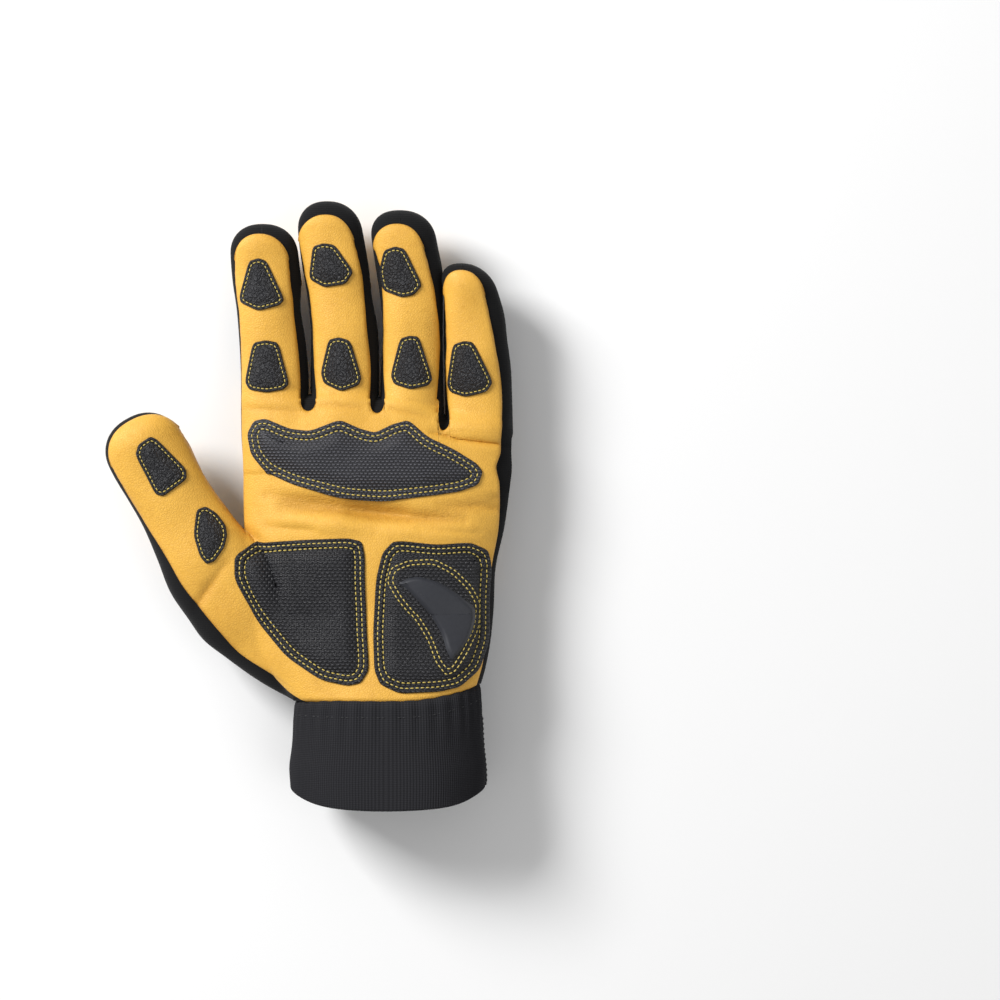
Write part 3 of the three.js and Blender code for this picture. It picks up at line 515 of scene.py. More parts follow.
def closed_shell(outer, inner, faces):
    """Points and quads of a closed wall: the outer sheet, the inner one turned round and a rim."""
    count = len(outer)
    rim = border_edges(faces)
    rim = rim[np.linalg.norm(outer[rim[:, 0]] - outer[rim[:, 1]], axis=1) > 1e-6]
    wall = np.stack([rim[:, 1], rim[:, 0], rim[:, 0] + count, rim[:, 1] + count], 1)
    return np.concatenate([outer, inner]), np.concatenate([faces, faces[:, ::-1] + count, wall])


def distance_to(x, y, loop_x, loop_y):
    """Plan distance from each point to the nearest point of a dense line."""
    found = np.empty(len(x))
    for first in range(0, len(x), 2000):
        part = slice(first, first + 2000)
        gap = (x[part, None] - loop_x) ** 2 + (y[part, None] - loop_y) ** 2
        found[part] = np.sqrt(gap.min(1))
    return found


cuff_box_low, cuff_box_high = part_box("cuff_band")
glove_place = np.array([
    500 * (cuff_box_low[0] + cuff_box_high[0]) - cuff_offset,
    1000 * cuff_box_low[1] + cuff_length + 2 * seam_gap + cuff_end_bow / 2,
    0,
])
millimetre = 0.001
weld_gap = 0.02


def add_piece(name, shells, material, nodes=()):
    """One object of closed shells, each (points, quads) and maybe a fold mark per point for wrinkle depth and
    painted shade, on the body.
    """
    points, faces, marks, first = [], [], [], 0
    for shell in shells:
        points.append(shell[0])
        faces.append(shell[1] + first)
        marks.append(shell[2] if len(shell) > 2 else np.zeros(len(shell[0])))
        first += len(shell[0])
    points = (np.concatenate(points) + glove_place) * millimetre
    faces = np.concatenate(faces)
    mesh = bpy.data.meshes.new(name)
    mesh.vertices.add(len(points))
    mesh.vertices.foreach_set("co", points.ravel())
    mesh.loops.add(faces.size)
    mesh.loops.foreach_set("vertex_index", faces.ravel())
    mesh.polygons.add(len(faces))
    mesh.polygons.foreach_set("loop_start", np.arange(0, faces.size, 4))
    mesh.update(calc_edges=True)
    mark = mesh.attributes.new("fold", "FLOAT", "POINT")
    mark.data.foreach_set("value", np.concatenate(marks).astype(np.float32))
    welded = bmesh.new()
    welded.from_mesh(mesh)
    bmesh.ops.remove_doubles(welded, verts=welded.verts, dist=weld_gap * millimetre)
    bmesh.ops.dissolve_degenerate(welded, edges=welded.edges, dist=1e-7)
    welded.to_mesh(mesh)
    welded.free()
    mesh.polygons.foreach_set("use_smooth", np.ones(len(mesh.polygons), bool))
    mesh.materials.append(material)
    piece = bpy.data.objects.new(name, mesh)
    bpy.context.collection.objects.link(piece)
    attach(piece, "root")
    if nodes:
        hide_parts(*nodes)
    return piece


def math(tree, operation, *terms, clamp=False):
    """A Math node's output, of numbers or other outputs."""
    values = dict(enumerate(terms))
    return add_node(tree, "ShaderNodeMath", values, operation=operation, use_clamp=clamp).outputs[0]


def node_group(name, inputs, outputs):
    """An empty shader node group with number inputs (name, value) and named number outputs: the group,
    its inputs, its outputs and the Math call for it."""
    group = bpy.data.node_groups.new(name, "ShaderNodeTree")
    for label, value in inputs:
        socket = group.interface.new_socket(label, in_out="INPUT", socket_type="NodeSocketFloat")
        socket.default_value = value
    for label in outputs:
        group.interface.new_socket(label, in_out="OUTPUT", socket_type="NodeSocketFloat")
    given = group.nodes.new("NodeGroupInput").outputs
    wanted = group.nodes.new("NodeGroupOutput").inputs
    return group, given, wanted, partial(math, group)


def use_group(tree, group, **values):
    """Outputs of a node group in a material, its inputs named with underscores for spaces."""
    given = {label.replace("_", " "): value for label, value in values.items()}
    return add_node(tree, "ShaderNodeGroup", given, node_tree=group).outputs


def wave(calc, place, pitch):
    """A sine of that pitch along a coordinate, between 0 and 1."""
    turn = calc("DIVIDE", calc("MULTIPLY", place, 2 * np.pi), pitch)
    return calc("MULTIPLY_ADD", calc("SINE", turn), 0.5, 0.5)


# Ribs of a knitted or elastic cloth: threads across, broken by stitches along, with a soft fuzz
ribs_group, ribs_in, ribs_out, calc = node_group(
    "knit_ribs", [("Rib Pitch", 0.0011), ("Stitch Pitch", 0.0009)], ["Height"])
place = object_place(ribs_group)
axes = add_node(ribs_group, "ShaderNodeSeparateXYZ", {0: place}).outputs
wobbly = calc("MULTIPLY_ADD", noise(ribs_group, place, 260.0, 2.0), 0.0007, axes["Y"])
stitch_share = calc("MULTIPLY", wave(calc, axes["X"], ribs_in["Stitch Pitch"]), 0.2)
knitted = calc("MULTIPLY_ADD", wave(calc, wobbly, ribs_in["Rib Pitch"]), 0.65, stitch_share)
fuzzy = calc("MULTIPLY_ADD", noise(ribs_group, place, 2600.0, 4.0), 0.35, knitted)
plug(ribs_group, ribs_out["Height"], fuzzy)


def cloth_material(name, color, lint_and_highlight, rib_pitch, stitch_pitch, bump, roughness=0.92):
    """Knitted or woven cloth: ribs from the shared group, with lint and a painted highlight lighter than the
    yarn on the rib tops.
    """
    material, tree = new_material(name)
    height = use_group(tree, ribs_group, Rib_Pitch=rib_pitch, Stitch_Pitch=stitch_pitch)["Height"]
    # Painted highlight: the second colour grows on the rib tops and fuzz peaks
    top = math(tree, "POWER", height, 2.0, clamp=True)
    values = {
        "Roughness": roughness, "Sheen Weight": 0.04, "Sheen Roughness": 0.5, "Specular IOR Level": 0.16,
    }
    return finish_surface(material, top, color, lint_and_highlight, values, height, bump)


knit_material = cloth_material("stretch_knit_black", knit_color, (0.009, 0.009, 0.0095, 1), 0.0008, 0.0007,
                               0.0001)
knit_wall = 1.1
knit_sink = 0.35
seam_turn = np.radians(122)
seam_reach = 0.7 / 11
back_wrap = 48
dome_steps = bent(np.sin(np.linspace(0, np.pi / 2, 16)[1:]), dome_power)


def finger_turns(finger, past, turn):
    """Points of a finger's knit at distances past the web and turns from the palm side: a superellipse
    section, which meets the palm's own form near the web."""
    centre, half = finger_edges(finger, past)
    height, thick, drawn = finger_body(finger, past)
    up = np.cos(turn)
    seam = bell(np.abs(turn), seam_turn, seam_reach)
    grow = -knit_sink - 0.3 * seam - 1.4 * ease(-past, 0, 4.5)
    x = centre + (half + grow) * drawn * bent(np.sin(turn), tube_power)
    z = height + (thick + grow) * drawn * bent(up, tube_power)
    y = finger["web"] + past
    root = ease(14 - past, 0, 11) * ease(1 - np.abs(np.sin(turn)), 0.01, 0.2)
    joined = np.where(up > 0, hand_height(x, y, 1) - 0.6, hand_height(x, y, -1) + 0.3)
    z = z + (joined - z) * root
    return np.stack([x, y, z], -1)


def knit_inside(outer):
    """The knit's inner side: every ring moved towards its own middle by the wall."""
    return outer - unit(outer - outer.mean(1, keepdims=True), 3) * knit_wall


def finger_strip(finger, turn_a, turn_b, columns):
    """A closed knit strip of a finger between two turns, from inside the palm to the fingertip."""
    straight = np.linspace(-5, finger["straight"], 50)
    dome = (finger["length"] - finger["straight"]) * dome_steps
    past = np.concatenate([straight, finger["straight"] + dome])[:, None]
    turn = np.linspace(turn_a, turn_b, columns)[None, :]
    past, turn = np.broadcast_arrays(past, turn)
    outer = finger_turns(finger, past, turn)
    return walled(outer, knit_inside(outer))


def palm_back():
    """The knit back of the palm: from the palm side's right edge round underneath to its left edge."""
    along = np.linspace(0, 1.02, 80)[:, None]
    turn = np.radians(np.linspace(back_wrap, 360 - back_wrap, 150))[None, :]
    along, turn = np.broadcast_arrays(along, turn)
    middle, half = palm_width(along)
    power = palm_power + (tube_power - palm_power) * np.clip(1 - along / 0.3, 0, 1)
    across = bent(np.sin(turn), power)
    x = middle + (half - knit_sink) * across
    y = along * palm_length + palm_warp(across, along, x)
    top, low = hand_height(x, y, 1), hand_height(x, y, -1)
    z = np.where(np.cos(turn) > 0, np.maximum(top - 0.7, (top + low) / 2), low + 0.1)
    outer = np.stack([x, y, z], -1)
    inside = np.stack([middle + 0 * x, y, (top + low) / 2], -1)
    return walled(outer, outer + unit(inside - outer) * knit_wall)


def thumb_knit():
    """The knit of the thumb: all round under the leather, so that it shows along the outer side."""
    straight = np.linspace(-0.16, thumb_tube_end, 70)
    share = np.concatenate([straight, thumb_tube_end + (1 - thumb_tube_end) * dome_steps])[:, None]
    turn = np.radians(np.linspace(-68, 292, 91))[:-1][None, :] * -1
    share, turn = np.broadcast_arrays(share, turn)
    centre, half = thumb_edges(share)
    height, thick, drawn = thumb_body(share)
    side = centre + (half - knit_sink) * drawn * bent(np.sin(turn), tube_power)
    x, y = thumb_plan(share * thumb_length, side)
    z = height + (thick - knit_sink) * drawn * bent(np.cos(turn), tube_power)
    joined = np.where(np.cos(turn) > 0, hand_height(x, y, 1) - 0.6, hand_height(x, y, -1) + 0.2)
    root = ease(0.55 - share, 0, 0.25) * ease(1 - np.abs(np.sin(turn)), 0.0, 0.12)
    z = z + (joined - z) * root
    outer = np.stack([x, y, z], -1)
    return walled(outer, knit_inside(outer), round_joined=True, turned=True)


full = 2 * np.pi
back_strips = [palm_back(), thumb_knit()]
for finger in fingers:
    turn_a = seam_turn if finger is not little_finger else np.radians(-2)
    turn_b = full - seam_turn if finger is not index_finger else full + np.radians(2)
    back_strips.append(finger_strip(finger, turn_a, turn_b, 61))
back_knit = add_piece("back_knit", back_strips, knit_material, ["back_panel"])

for left, right in zip(fingers[:-1], fingers[1:]):
    strips = [
        finger_strip(left, np.radians(-2), seam_turn, 36),
        finger_strip(right, -seam_turn, np.radians(2), 36),
    ]
    x = np.linspace(left["x"] + 0.35 * left["width"], right["x"] - 0.35 * right["width"], 18)[None, :]
    turn = np.linspace(0, np.pi, 25)[:, None]
    x, turn = np.broadcast_arrays(x, turn)
    y = palm_length - web_drop(x) - 2
    top, low = hand_height(x, y, 1) - 0.5, hand_height(x, y, -1) + 0.4
    saddle = np.stack([x, y + 9 * np.sin(turn), (top + low) / 2 + (top - low) / 2 * np.cos(turn)], -1)
    behind = saddle - np.stack([0 * x, knit_wall * np.sin(turn), knit_wall * np.cos(turn)], -1)
    strips.append(walled(saddle, behind, turned=True))
    node = f"fourchette_{left['name']}_{right['name']}"
    fourchette = add_piece(f"{node}_knit", strips, knit_material, [node])

# Palm leather: one golden grain hide from the cuff to the fingertips, slit at the webs, with the
# thumb's piece set in over the ball of the thumb. Its edges are turned into the seams with the knit.
leather_lift = 0.9
leather_wall = 1.1
edge_roll = 1.7
edge_sink = 0.5
leather_color = (0.77, 0.425, 0.06, 1)
# The darker leather colour, for random patches and for painted shade in pits, creases and along the edges
leather_shade = (0.47, 0.21, 0.015, 1)
web_notch = 5.0
thumb_leather_end = 0.985
palm_seam_columns = ("along", "left", "right")
palm_seams = [
    (0.0, -0.865, 0.94), (0.03, -0.96, 0.945), (0.06, -1.0, 0.95), (0.3, -1.0, 0.955), (0.49, -1.0, 0.965),
    (0.6, -1.0, 0.965), (0.75, -1.0, 0.955), (0.83, -1.0, 0.935), (0.88, -1.0, 0.96), (0.93, -1.0, 0.94),
    (1.0, -1.0, 0.92),
]

# Leather grain: pebbles and fine wrinkles as relief; its tone holds random patches and flecks, painted shade
# in the pebble pits and, by the Fold input, painted shade in creases and along the edges, where Fold also
# deepens the wrinkles.
grain_group, grain_in, grain_out, calc = node_group(
    "leather_grain", [("Pebble Size", 0.0009), ("Fold", 0.0), ("Roughness", 0.5)],
    ["Height", "Tone_And_Painted_Shade", "Roughness"])
place = object_place(grain_group)
drift = add_node(grain_group, "ShaderNodeTexNoise", {"Vector": place, "Scale": 500.0, "Detail": 2.0})
shift = add_node(grain_group, "ShaderNodeVectorMath", {
    0: drift.outputs["Color"], 1: (0.0008, 0.0008, 0.0008)}, operation="MULTIPLY").outputs[0]
moved = add_node(grain_group, "ShaderNodeVectorMath", {0: place, 1: shift}, operation="ADD").outputs[0]
pebble_scale = calc("DIVIDE", 1.0, grain_in["Pebble Size"])
pebbles = add_node(grain_group, "ShaderNodeTexVoronoi", {"Vector": moved, "Scale": pebble_scale},
                   feature="DISTANCE_TO_EDGE").outputs["Distance"]
pebble_top = add_node(grain_group, "ShaderNodeMapRange", {"Value": pebbles, "From Max": 0.22},
                      interpolation_type="SMOOTHSTEP").outputs["Result"]
stretched = add_node(grain_group, "ShaderNodeMapping", {"Vector": place, "Scale": (120.0, 520.0, 300.0)})
wrinkles = noise(grain_group, stretched.outputs[0], 1.0, 4.0, distortion=1.4)
wrinkle_ridge = calc("ABSOLUTE", calc("MULTIPLY_ADD", wrinkles, 2.0, -1.0))
wrinkle_depth = calc("MULTIPLY", wrinkle_ridge, calc("MULTIPLY_ADD", grain_in["Fold"], 2.4, 0.35))
pore_height = calc("MULTIPLY", noise(grain_group, place, 5200.0, 3.0), 0.3)
grain_height = calc("MULTIPLY_ADD", pebble_top, 0.45, pore_height)
plug(grain_group, grain_out["Height"], calc("ADD", grain_height, wrinkle_depth))
patches = noise(grain_group, place, 38.0, 4.0)
flecks = noise(grain_group, place, 420.0, 3.0)
patch_tone = add_node(grain_group, "ShaderNodeMapRange", {
    "Value": patches, "From Min": 0.4, "From Max": 0.8, "To Max": 0.3}).outputs["Result"]
fleck_tone = add_node(grain_group, "ShaderNodeMapRange", {
    "Value": flecks, "From Min": 0.5, "From Max": 0.8, "To Max": 0.22}).outputs["Result"]
# Painted shade: darker in the pits between the pebbles
painted_pit_shade = calc("MULTIPLY", calc("SUBTRACT", 1.0, pebble_top), 0.12)
tone_and_painted_pit_shade = calc("ADD", calc("ADD", patch_tone, fleck_tone), painted_pit_shade)
# Painted shade by the Fold input: darker in creases and along the leather's edges
plug(grain_group, grain_out["Tone_And_Painted_Shade"], calc("MULTIPLY_ADD", grain_in["Fold"], 0.55, tone_and_painted_pit_shade, clamp=True))
plug(grain_group, grain_out["Roughness"], calc("MULTIPLY_ADD", flecks, 0.18, grain_in["Roughness"]))


def leather_material(name, color, shade, pebble, roughness, bump):
    """Grain leather: pebbles and fine wrinkles from the shared group, random tone, and painted shade in pits,
    folds and along the seams.
    """
    material, tree = new_material(name)
    # The fold mark: crease depth and nearness to the edge, which deepen the wrinkles and paint shade
    fold = add_node(tree, "ShaderNodeAttribute", attribute_name="fold").outputs["Fac"]
    grain = use_group(tree, grain_group, Pebble_Size=pebble, Fold=fold, Roughness=roughness)
    values = {"Roughness": grain["Roughness"], "Specular IOR Level": 0.4}
    return finish_surface(material, grain["Tone_And_Painted_Shade"], color, shade, values, grain["Height"], bump)


palm_leather_material = leather_material("palm_leather_gold", leather_color, leather_shade, 0.0010, 0.44,
                                         0.00015)


def turned_edge(gap):
    """Height of the leather at a gap from its edge: a quarter round from below the surface to the lift."""
    below = edge_sink * (1 - np.clip(gap / edge_roll, 0, 1)) ** 3
    return leather_lift * quarter_round(gap, edge_roll) - below


def conform(x, y, faces, side, lift, wall, over=0):
    """A closed shell over plan points: raised by lift of the gap to its border, and by over, with a wall
    behind. Its fold mark grows in creases and at its edges; it deepens the wrinkles and is painted shade in
    the leather's tone."""
    rim = border_edges(faces)[:, 0]
    gap = distance_to(x, y, x[rim], y[rim])
    base, normals = hand_surface(x, y, side)
    raised = lift(gap) + over
    outer = base + normals * raised[:, None]
    inner = base + normals * (raised - wall)[:, None]
    if side < 0:
        faces = faces[:, ::-1]
    points, quads = closed_shell(outer, inner, faces)
    # Fold mark from crease depth and nearness to the edge: the leather's wrinkles deepen and its painted
    # shade darkens with it
    crease = np.clip(fold_depth(x, y) / 1.6, 0, 1) if side > 0 else 0 * gap
    fold = np.clip(crease * 0.9 + 0.8 * bell(gap, 0, 0.9), 0, 1)
    return points, quads, np.concatenate([fold, fold])


def palm_sheet_plan(rows, finger_rows, cells):
    """Plan grid of the palm leather: it starts at the cuff seam, widens to the web line and splits up the
    fingers. Points x and y, and quads."""
    q = -np.cos(np.linspace(0, np.pi, cells))
    top_x, top_y, starts, edges = [], [], [], []
    for finger in fingers:
        centre, half = finger_edges(finger, np.full(cells, web_notch), "seam_left", "seam_right")
        edges.append((centre + q * half, np.full(cells, finger["web"] + web_notch)))
    for k, (edge_x, edge_y) in enumerate(edges):
        starts.append(sum(len(part) for part in top_x))
        top_x.append(edge_x)
        top_y.append(edge_y)
        if k < len(edges) - 1:
            next_x, next_y = edges[k + 1]
            turn = np.linspace(0, np.pi, 11)[1:-1]
            share = (1 - np.cos(turn)) / 2
            x = edge_x[-1] + (next_x[0] - edge_x[-1]) * share
            level = edge_y[-1] + (next_y[0] - edge_y[-1]) * share
            bottom = palm_length - web_drop((edge_x[-1] + next_x[0]) / 2)
            top_x.append(x)
            top_y.append(level + (bottom - level) * np.sin(turn) ** 0.8)
    top_x, top_y = np.concatenate(top_x), np.concatenate(top_y)
    columns = len(top_x)
    middle, half = palm_width(np.ones(columns))
    top_turn = np.arcsin(bent(np.clip((top_x - middle) / half, -1, 1), 2 * 2 / palm_power))
    t = (1 - (1 - np.linspace(0, 1, rows)) ** 1.25)[:, None]
    low_turn = np.linspace(-np.pi / 2, np.pi / 2, columns)[None, :]
    spread = ease(t, 0.25, 1.0)
    reach = bent(np.sin(low_turn + (top_turn - low_turn) * spread), palm_power)
    x, y = palm_across(t, reach), palm_length * t + 0 * reach
    middle, half = palm_width(y / palm_length)
    plan_x = middle + half * x
    plan_y = y + palm_warp(x, y / palm_length, plan_x)
    plan_x = plan_x + (top_x - plan_x[-1]) * ease(t, 0.82, 1.0)
    plan_y = plan_y + (top_y - plan_y[-1]) * ease(t, 0.78, 1.0) ** 1.5
    all_x, all_y, faces = [plan_x.ravel()], [plan_y.ravel()], [grid_faces(rows, columns)]
    first = rows * columns
    s = 1 - (1 - np.linspace(0, 1, finger_rows)) ** 1.4
    for finger, start in zip(fingers, starts):
        past = web_notch + s[:, None] * (leather_fingertip(finger, q) - web_notch)[None, :]
        centre, half = finger_edges(finger, past, "seam_left", "seam_right")
        all_x.append((centre + q * half)[1:].ravel())
        all_y.append((finger["web"] + past)[1:].ravel())
        shared = (rows - 1) * columns + start + np.arange(cells)
        own = first + np.arange((finger_rows - 1) * cells).reshape(-1, cells)
        faces.append(quads_between(np.concatenate([shared[None, :], own])))
        first += (finger_rows - 1) * cells
    return np.concatenate(all_x), np.concatenate(all_y), np.concatenate(faces)


def palm_across(t, reach):
    """Across shares of the palm leather: from its left seam to its right one."""
    low = read(palm_seams, palm_seam_columns, "left", t)
    high = read(palm_seams, palm_seam_columns, "right", t)
    return np.where(reach < 0, -low * reach, high * reach)


def leather_fingertip(finger, q):
    """How far the leather reaches up a finger: a rounded end below the knit rim."""
    tip = finger["leather"] * finger["length"]
    dome = 0.4 * finger["width"]
    return tip - dome + dome * round_off(q, 2.2)


def crossing(x, y):
    """Share by which the palm's sheet lies over the thumb's (1) or under it (-1) where both lie."""
    across, _ = palm_shares(x, y)
    share, place = thumb_shares(x, y)
    centre, half = thumb_edges(share)
    palm_inside = 1 - np.abs(across)
    thumb_inside = (1 - np.abs(place - centre) / half) * half / 50
    return np.clip((palm_inside - thumb_inside) / 0.12, -1, 1) * ease(share, -0.2, -0.1)


# How far the palm's and the thumb's sheets are moved up and down where they cross
sheet_shift = 0.12
x, y, faces = palm_sheet_plan(140, 84, 33)
palm_sheet = conform(x, y, faces, 1, turned_edge, leather_wall, sheet_shift * crossing(x, y))

q = -np.cos(np.linspace(0, np.pi, 49))[None, :]
t = (1 - (1 - np.linspace(0, 1, 120)) ** 1.3)[:, None]
thumb_dome = 0.4 * thumb_width / thumb_length
thumb_dome = np.where(q < 0, thumb_dome, thumb_leather_end - thumb_tube_end)
end = thumb_leather_end - thumb_dome + thumb_dome * round_off(q, dome_power)
share = -0.165 + t * (end + 0.165)
centre, half = thumb_edges(share, "seam")
x, y = thumb_plan(share * thumb_length, centre + q * half)
x, y = x.ravel(), y.ravel()
thumb_sheet = conform(x, y, grid_faces(120, 49), 1, turned_edge, leather_wall, -sheet_shift * crossing(x, y))
palm_leather = add_piece("palm_leather_sheet", [palm_sheet, thumb_sheet], palm_leather_material,
                         ["palm_panel"])

# Finger pads: small foam filled patches of pebbled synthetic leather, one near each fingertip and one
# below, sewn round with one row of yellow thread.
pad_rise = 1.1
# Each pad's middle, then its corners from there, in millimetres
finger_pad_table = {
    "tip_pad_index": ((-45.1, 165.9), [(-5.0, 9.1), (-1.4, 10.3), (1.8, 9.1), (8.2, -5.7), (6.6, -8.1),
        (-1.4, -10.3), (-7.8, -6.9), (-8.2, -4.1)]),
    "mid_pad_index": ((-43.1, 133.3), [(-5.4, 9.3), (-0.6, 10.3), (4.2, 9.3), (8.2, -6.7), (6.2, -9.1),
        (-0.2, -10.3), (-6.6, -9.1), (-8.2, -5.9)]),
    "tip_pad_middle": ((-17.5, 173.6), [(-7.0, 7.4), (-3.0, 8.6), (1.4, 7.8), (8.2, -2.6), (5.4, -7.4),
        (-2.6, -8.6), (-8.2, -5.0)]),
    "mid_pad_middle": ((-13.7, 134.1), [(-4.8, 9.7), (-0.8, 10.7), (3.6, 9.3), (7.6, -5.5), (6.4, -8.3),
        (0.0, -10.7), (-6.4, -7.5), (-7.6, -3.1)]),
    "tip_pad_ring": ((10.3, 170.8), [(-6.4, 8.6), (-2.4, 10.0), (1.4, 9.0), (8.0, -5.0), (4.8, -9.0),
        (0.2, -10.0), (-6.4, -7.0), (-8.0, 0.6)]),
    "mid_pad_ring": ((14.3, 134.8), [(-4.4, 9.4), (-0.8, 10.6), (2.8, 10.2), (7.6, -6.2), (6.0, -9.0),
        (-0.4, -10.6), (-6.4, -8.6), (-7.6, -5.0)]),
    "mid_pad_little": ((37.9, 132.3), [(-6.4, 9.5), (-2.4, 10.9), (1.2, 10.3), (8.4, -4.9), (6.0, -8.9),
        (-2.0, -10.9), (-7.2, -8.9), (-8.4, -5.7)]),
    "thumb_tip_pad": ((-84.9, 93.3), [(-8.4, 8.5), (-4.0, 11.5), (-1.6, 10.5), (9.2, -1.1), (9.6, -5.1),
        (1.2, -11.5), (-2.0, -10.7), (-9.6, 4.5)]),
    "thumb_lower_pad": ((-65.5, 66.0), [(-5.4, 9.8), (-2.2, 11.0), (1.8, 8.2), (5.4, 3.4), (6.2, -0.2),
        (5.4, -4.6), (1.8, -10.0), (-1.4, -11.0), (-3.8, -8.0), (-6.2, -0.2)]),
}
stitch_length = 1.3
stitch_thickness = 0.52
stitch_pitch = 2.05
points_per_stitch = 30
quads_per_stitch = 28
finger_stitch_inset = 1.35


def smooth_loop(corners, count, rounding=3):
    """A closed curve near the corners: halve each side, cut the corners a few times, then space it evenly."""
    loop = np.array(corners, float)
    loop = np.stack([loop, (loop + np.roll(loop, -1, 0)) / 2], 1).reshape(-1, 2)
    for _ in range(rounding):
        after = np.roll(loop, -1, 0)
        loop = np.stack([loop * 0.75 + after * 0.25, loop * 0.25 + after * 0.75], 1).reshape(-1, 2)
    return spaced(np.concatenate([loop, loop[:1]]), count + 1)[:-1]


def spaced(line, count):
    """The same line with its points at even distances."""
    run = np.concatenate([[0], np.cumsum(np.linalg.norm(np.diff(line, axis=0), axis=1))])
    places = np.linspace(0, run[-1], count)
    return np.stack([np.interp(places, run, line[:, k]) for k in range(line.shape[1])], -1)


def anticlockwise(loop):
    """The loop turned round if its signed area is negative."""
    after = np.roll(loop, -1, 0)
    area = (loop[:, 0] * after[:, 1] - loop[:, 1] * after[:, 0]).sum()
    return loop if area > 0 else loop[::-1]


def inset(loop, distance, step=0.15):
    """The loop moved inwards in small steps along its normals, kept even between its neighbours."""
    moved = loop.copy()
    steps = max(int(round(distance / step)), 1)
    for _ in range(steps):
        run = np.roll(moved, -1, 0) - np.roll(moved, 1, 0)
        inward = unit(np.stack([-run[:, 1], run[:, 0]], -1))
        moved = moved + inward * distance / steps
        moved = moved + 0.12 * (np.roll(moved, -1, 0) + np.roll(moved, 1, 0) - 2 * moved)
        moved = spaced(np.concatenate([moved, moved[:1]]), len(moved) + 1)[:-1]
    return moved


def stitches(line, normals, pitch=stitch_pitch, closed=True, length=stitch_length, thick=stitch_thickness):
    """Thread stitches along a line of points: small closed capsules that bow into the cloth at their ends."""
    if closed:
        line = np.concatenate([line, line[:1]])
        normals = np.concatenate([normals, normals[:1]])
    run = np.concatenate([[0], np.cumsum(np.linalg.norm(np.diff(line, axis=0), axis=1))])
    count = max(int(run[-1] / pitch), 1)
    places = (np.arange(count) + 0.5) * run[-1] / count

    def along(places, values):
        return np.stack([np.interp(places, run, values[:, k]) for k in range(3)], -1)

    middle = along(places, line)
    forward = unit(along(places + length / 4, line) - along(places - length / 4, line))
    up = along(places, normals)
    up = unit(up - forward * (up * forward).sum(1, keepdims=True))
    side = np.cross(up, forward)
    share = np.array([-1, -0.78, 0, 0.78, 1])[:, None]
    ring = np.array([0.35, 0.85, 1, 0.85, 0.35])[:, None]
    turn = np.arange(6)[None, :] * np.pi / 3
    ahead = share * length / 2 + 0 * turn
    beside = ring * np.cos(turn) * thick / 2
    above = ring * np.sin(turn) * thick / 2 - 0.28 * thick * share ** 2 + 0 * turn
    points = (middle[:, None, None] + ahead[None, ..., None] * forward[:, None, None]
              + beside[None, ..., None] * side[:, None, None] + above[None, ..., None] * up[:, None, None])
    cell = grid_faces(5, 6, round_joined=True)
    caps = np.array([[0, 1, 2, 3], [3, 4, 5, 0], [27, 26, 25, 24], [24, 29, 28, 27]])
    cell = np.concatenate([cell[:, ::-1], caps[:, ::-1]])
    faces = (cell[None] + points_per_stitch * np.arange(count)[:, None, None]).reshape(-1, 4)
    return points.reshape(-1, 3), faces


def raised_line(loop, height, side=1):
    """Points and normals of a plan line on the hand, height millimetres over its surface."""
    base, normals = hand_surface(loop[:, 0], loop[:, 1], side)
    return base + normals * np.broadcast_to(height, len(loop))[:, None], normals


def pad_shell(loop, insets, profile, centre, bottom=0.5):
    """A closed pad on the hand: rings at exact insets from its outline, then shrinking to a point, at the
    height that the profile gives for their distance to the outline."""
    rings, last = [loop], loop
    for before, wanted in zip(insets[:-1], insets[1:]):
        last = inset(last, wanted - before)
        rings.append(last)
    rings += [last + (centre - last) * t for t in np.linspace(0, 1, 15)[1:]]
    plan = np.concatenate(rings)
    gap = distance_to(plan[:, 0], plan[:, 1], loop[:, 0], loop[:, 1])
    for k, wanted in enumerate(insets):
        gap[k * len(loop):(k + 1) * len(loop)] = wanted
    outer, _ = raised_line(plan, profile(gap))
    inner, _ = raised_line(plan, bottom)
    return closed_shell(outer, inner, grid_faces(len(rings), len(loop), round_joined=True))


def finger_pad_height(gap):
    """Height of a finger pad over the knit form: rounded edge, the stitch groove, then the soft middle."""
    edge = leather_lift + pad_rise * quarter_round(gap, 0.55)
    groove = 0.38 * bell(gap, finger_stitch_inset, 0.32)
    return edge - groove + 0.75 * ease(gap, finger_stitch_inset, 5.5)


# Grip pads share the leather grain, with its painted shade in the pits between the pebbles
pebble_material = leather_material("grip_pad_charcoal", (0.017, 0.017, 0.02, 1), (0.006, 0.006, 0.007, 1),
                                   0.0016, 0.3, 0.0008)
thread_material = flecked_material("thread_yellow", (0.68, 0.54, 0.13, 1), (0.48, 0.36, 0.08, 1), 900.0, 2.0,
                                   0.6)

finger_insets = [0, 0.08, 0.2, 0.38, 0.6, 0.85, 1.1, 1.35, 1.6, 1.9, 2.4, 3.0]
thread_rows = []
pad_growth = 1.03

for node, (middle, corners) in finger_pad_table.items():
    loop = anticlockwise(smooth_loop(np.array(corners) * pad_growth + middle, 132))
    shell = pad_shell(loop, finger_insets, finger_pad_height, loop.mean(0))
    pad = add_piece(node + "_cushion", [shell], pebble_material, [node])
    row = inset(loop, finger_stitch_inset)
    line, normals = raised_line(row, leather_lift + pad_rise - 0.1)
    thread_rows.append(stitches(line, normals, pitch=1.75, length=1.15, thick=0.44))

